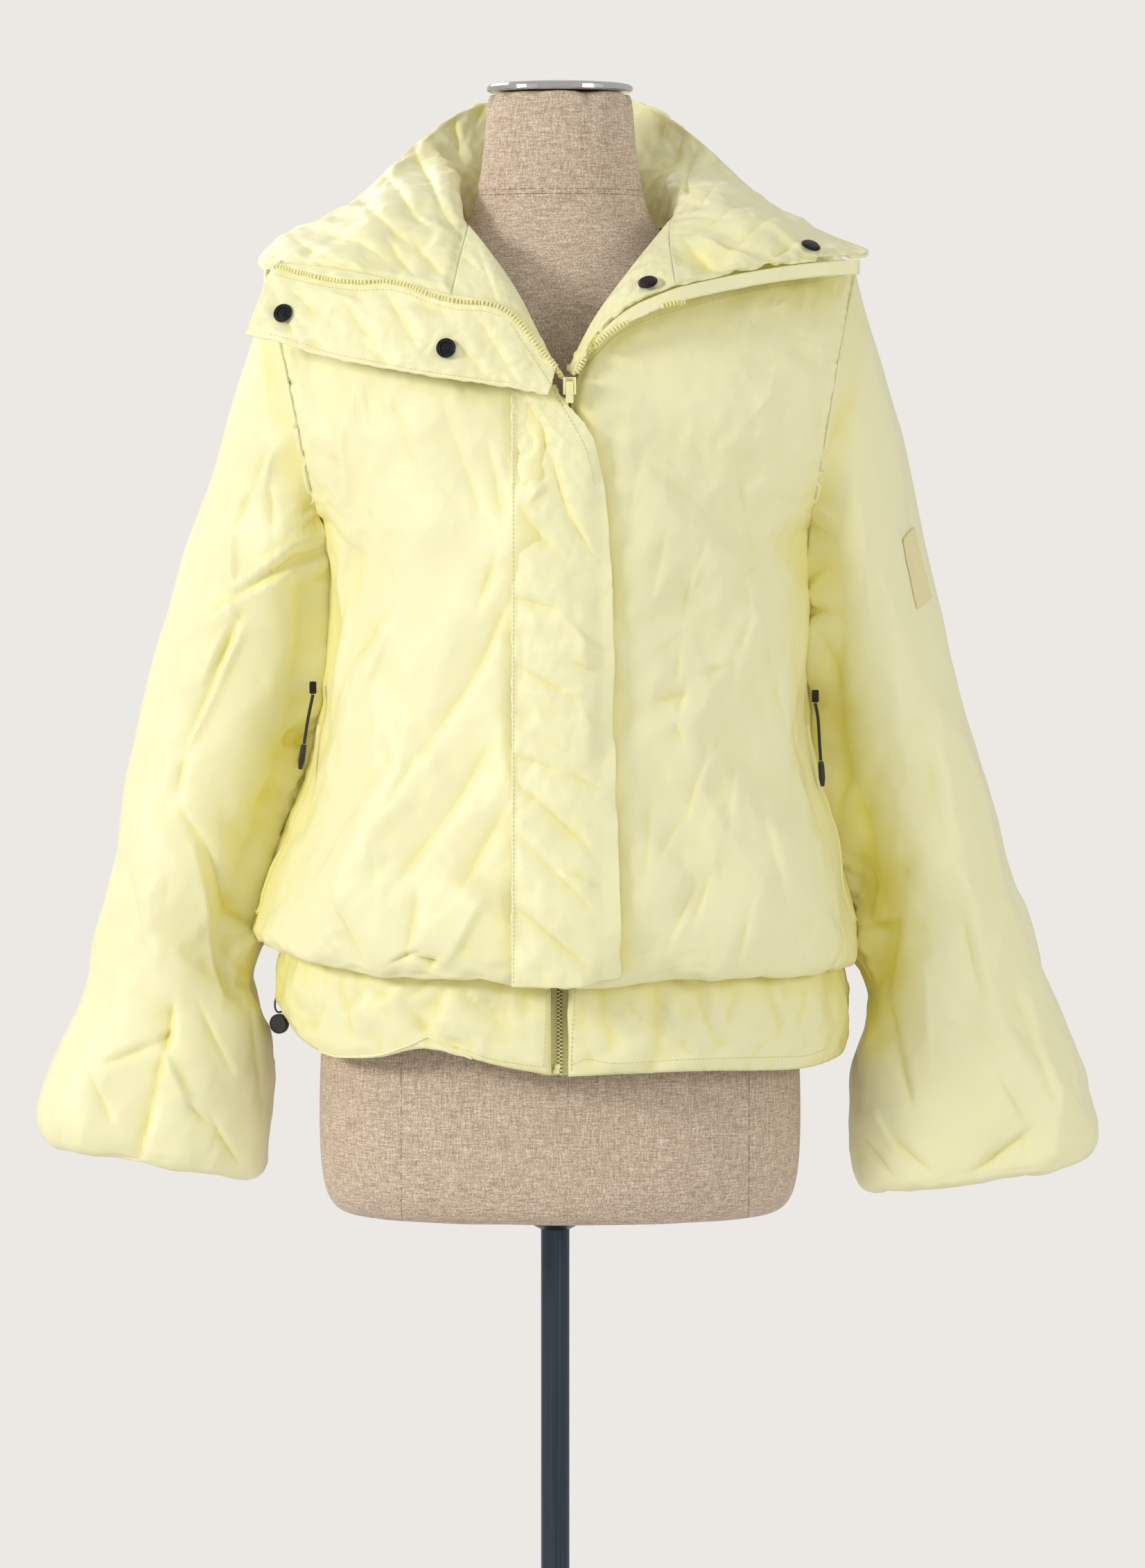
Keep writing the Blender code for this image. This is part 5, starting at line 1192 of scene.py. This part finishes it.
def hard_parts(zip_plastic):
    """The looks of the solids that stay, the form, and the rings on the snaps."""
    dress_form(linen_material())
    steel = steel_material()
    metal = mottled("black_metal", 220.0, 4.0, BLACK, 0.4, Roughness=0.32, Metallic=0.6)
    plastic = mottled("black_plastic", 220.0, 4.0, BLACK, 0.4, Roughness=0.45)
    looks = {"neck_cap": chrome_material(), "stand_pole": steel, "stand_base": steel,
             "zip_slider": zip_plastic, "zip_pull": zip_plastic}
    looks.update((name, metal) for name in METAL_NODES)
    looks.update((name, plastic) for name in PLASTIC_NODES)
    for name, look in looks.items():
        frame["nodes"][name].data.materials[0] = look
    for name in SNAP_NODES:
        hoops(name, *SNAP_RINGS[name.rsplit("_", 1)[0]], metal)


# Teeth and stitches: along the seam, across it, and off the cloth.
COLLAR_TOOTH = (0.0020, 0.0040, 0.0030)
HEM_TOOTH = (0.0012, 0.0026, 0.0020)
HEM_STAGGER = 0.0009
STOP_SIZE = (0.0034, 0.0040, 0.0018)
BOX_SIZE = (0.0050, 0.0052, 0.0030)
STITCH = (0.0024, 0.0006, 0.0006)
COLLAR_PITCH = 0.0027
STITCH_PITCH = 0.0032


def sewing(cloths, tape_points, look, zip_plastic):
    """Zip teeth, the zip's ends, stitches and the hem's piping."""
    tree = tree_of(made.data for made in cloths)

    def along(pitch, lift, *lines):
        return [route(tree, line, pitch, lift) for line in lines]

    teeth = {
        "collar_zip_teeth_right": (along(COLLAR_PITCH, 0.0010, ZIP_RIGHT), COLLAR_TOOTH, 0),
        "collar_zip_teeth_left": (along(COLLAR_PITCH, 0.0010, ZIP_LEFT, ZIP_LEFT_FAR),
                                  COLLAR_TOOTH, 0),
        "collar_zip_stop": (along(0.0030, 0.0008, ZIP_STOP), STOP_SIZE, 0),
        "front_zip_teeth": ([zip_chain(tape_points)], HEM_TOOTH, HEM_STAGGER),
        "hem_zip_box": (along(0.0030, 0.0010, HEM_ZIP_BOX), BOX_SIZE, 0),
    }
    for name, (routes, block, stagger) in teeth.items():
        pegs(name, routes, block, zip_plastic, stagger)
    thread = ribbed("thread_lemon", 900.0, "DIAGONAL", 0.0, THREAD_LEMON, 0.0002,
                    Roughness=0.6)
    pegs("jacket_stitches", along(STITCH_PITCH, 0.0001, *STITCH_LINES), STITCH, thread)
    piping, _ = route(tree, HEM_PIPING, 0.003, 0.0002)
    tube("hem_piping", [piping], 0.0011, look, sides=6)


camera()
cords()
studio()
lemon = shell_material()
zip_lemon = mottled("zip_plastic_lemon", 160.0, 2.0, ZIP_LEMON, 0.3, Roughness=0.38)
cloth_objects, left_tape = garment(lemon)
hard_parts(zip_lemon)
sewing(cloth_objects, left_tape, lemon, zip_lemon)
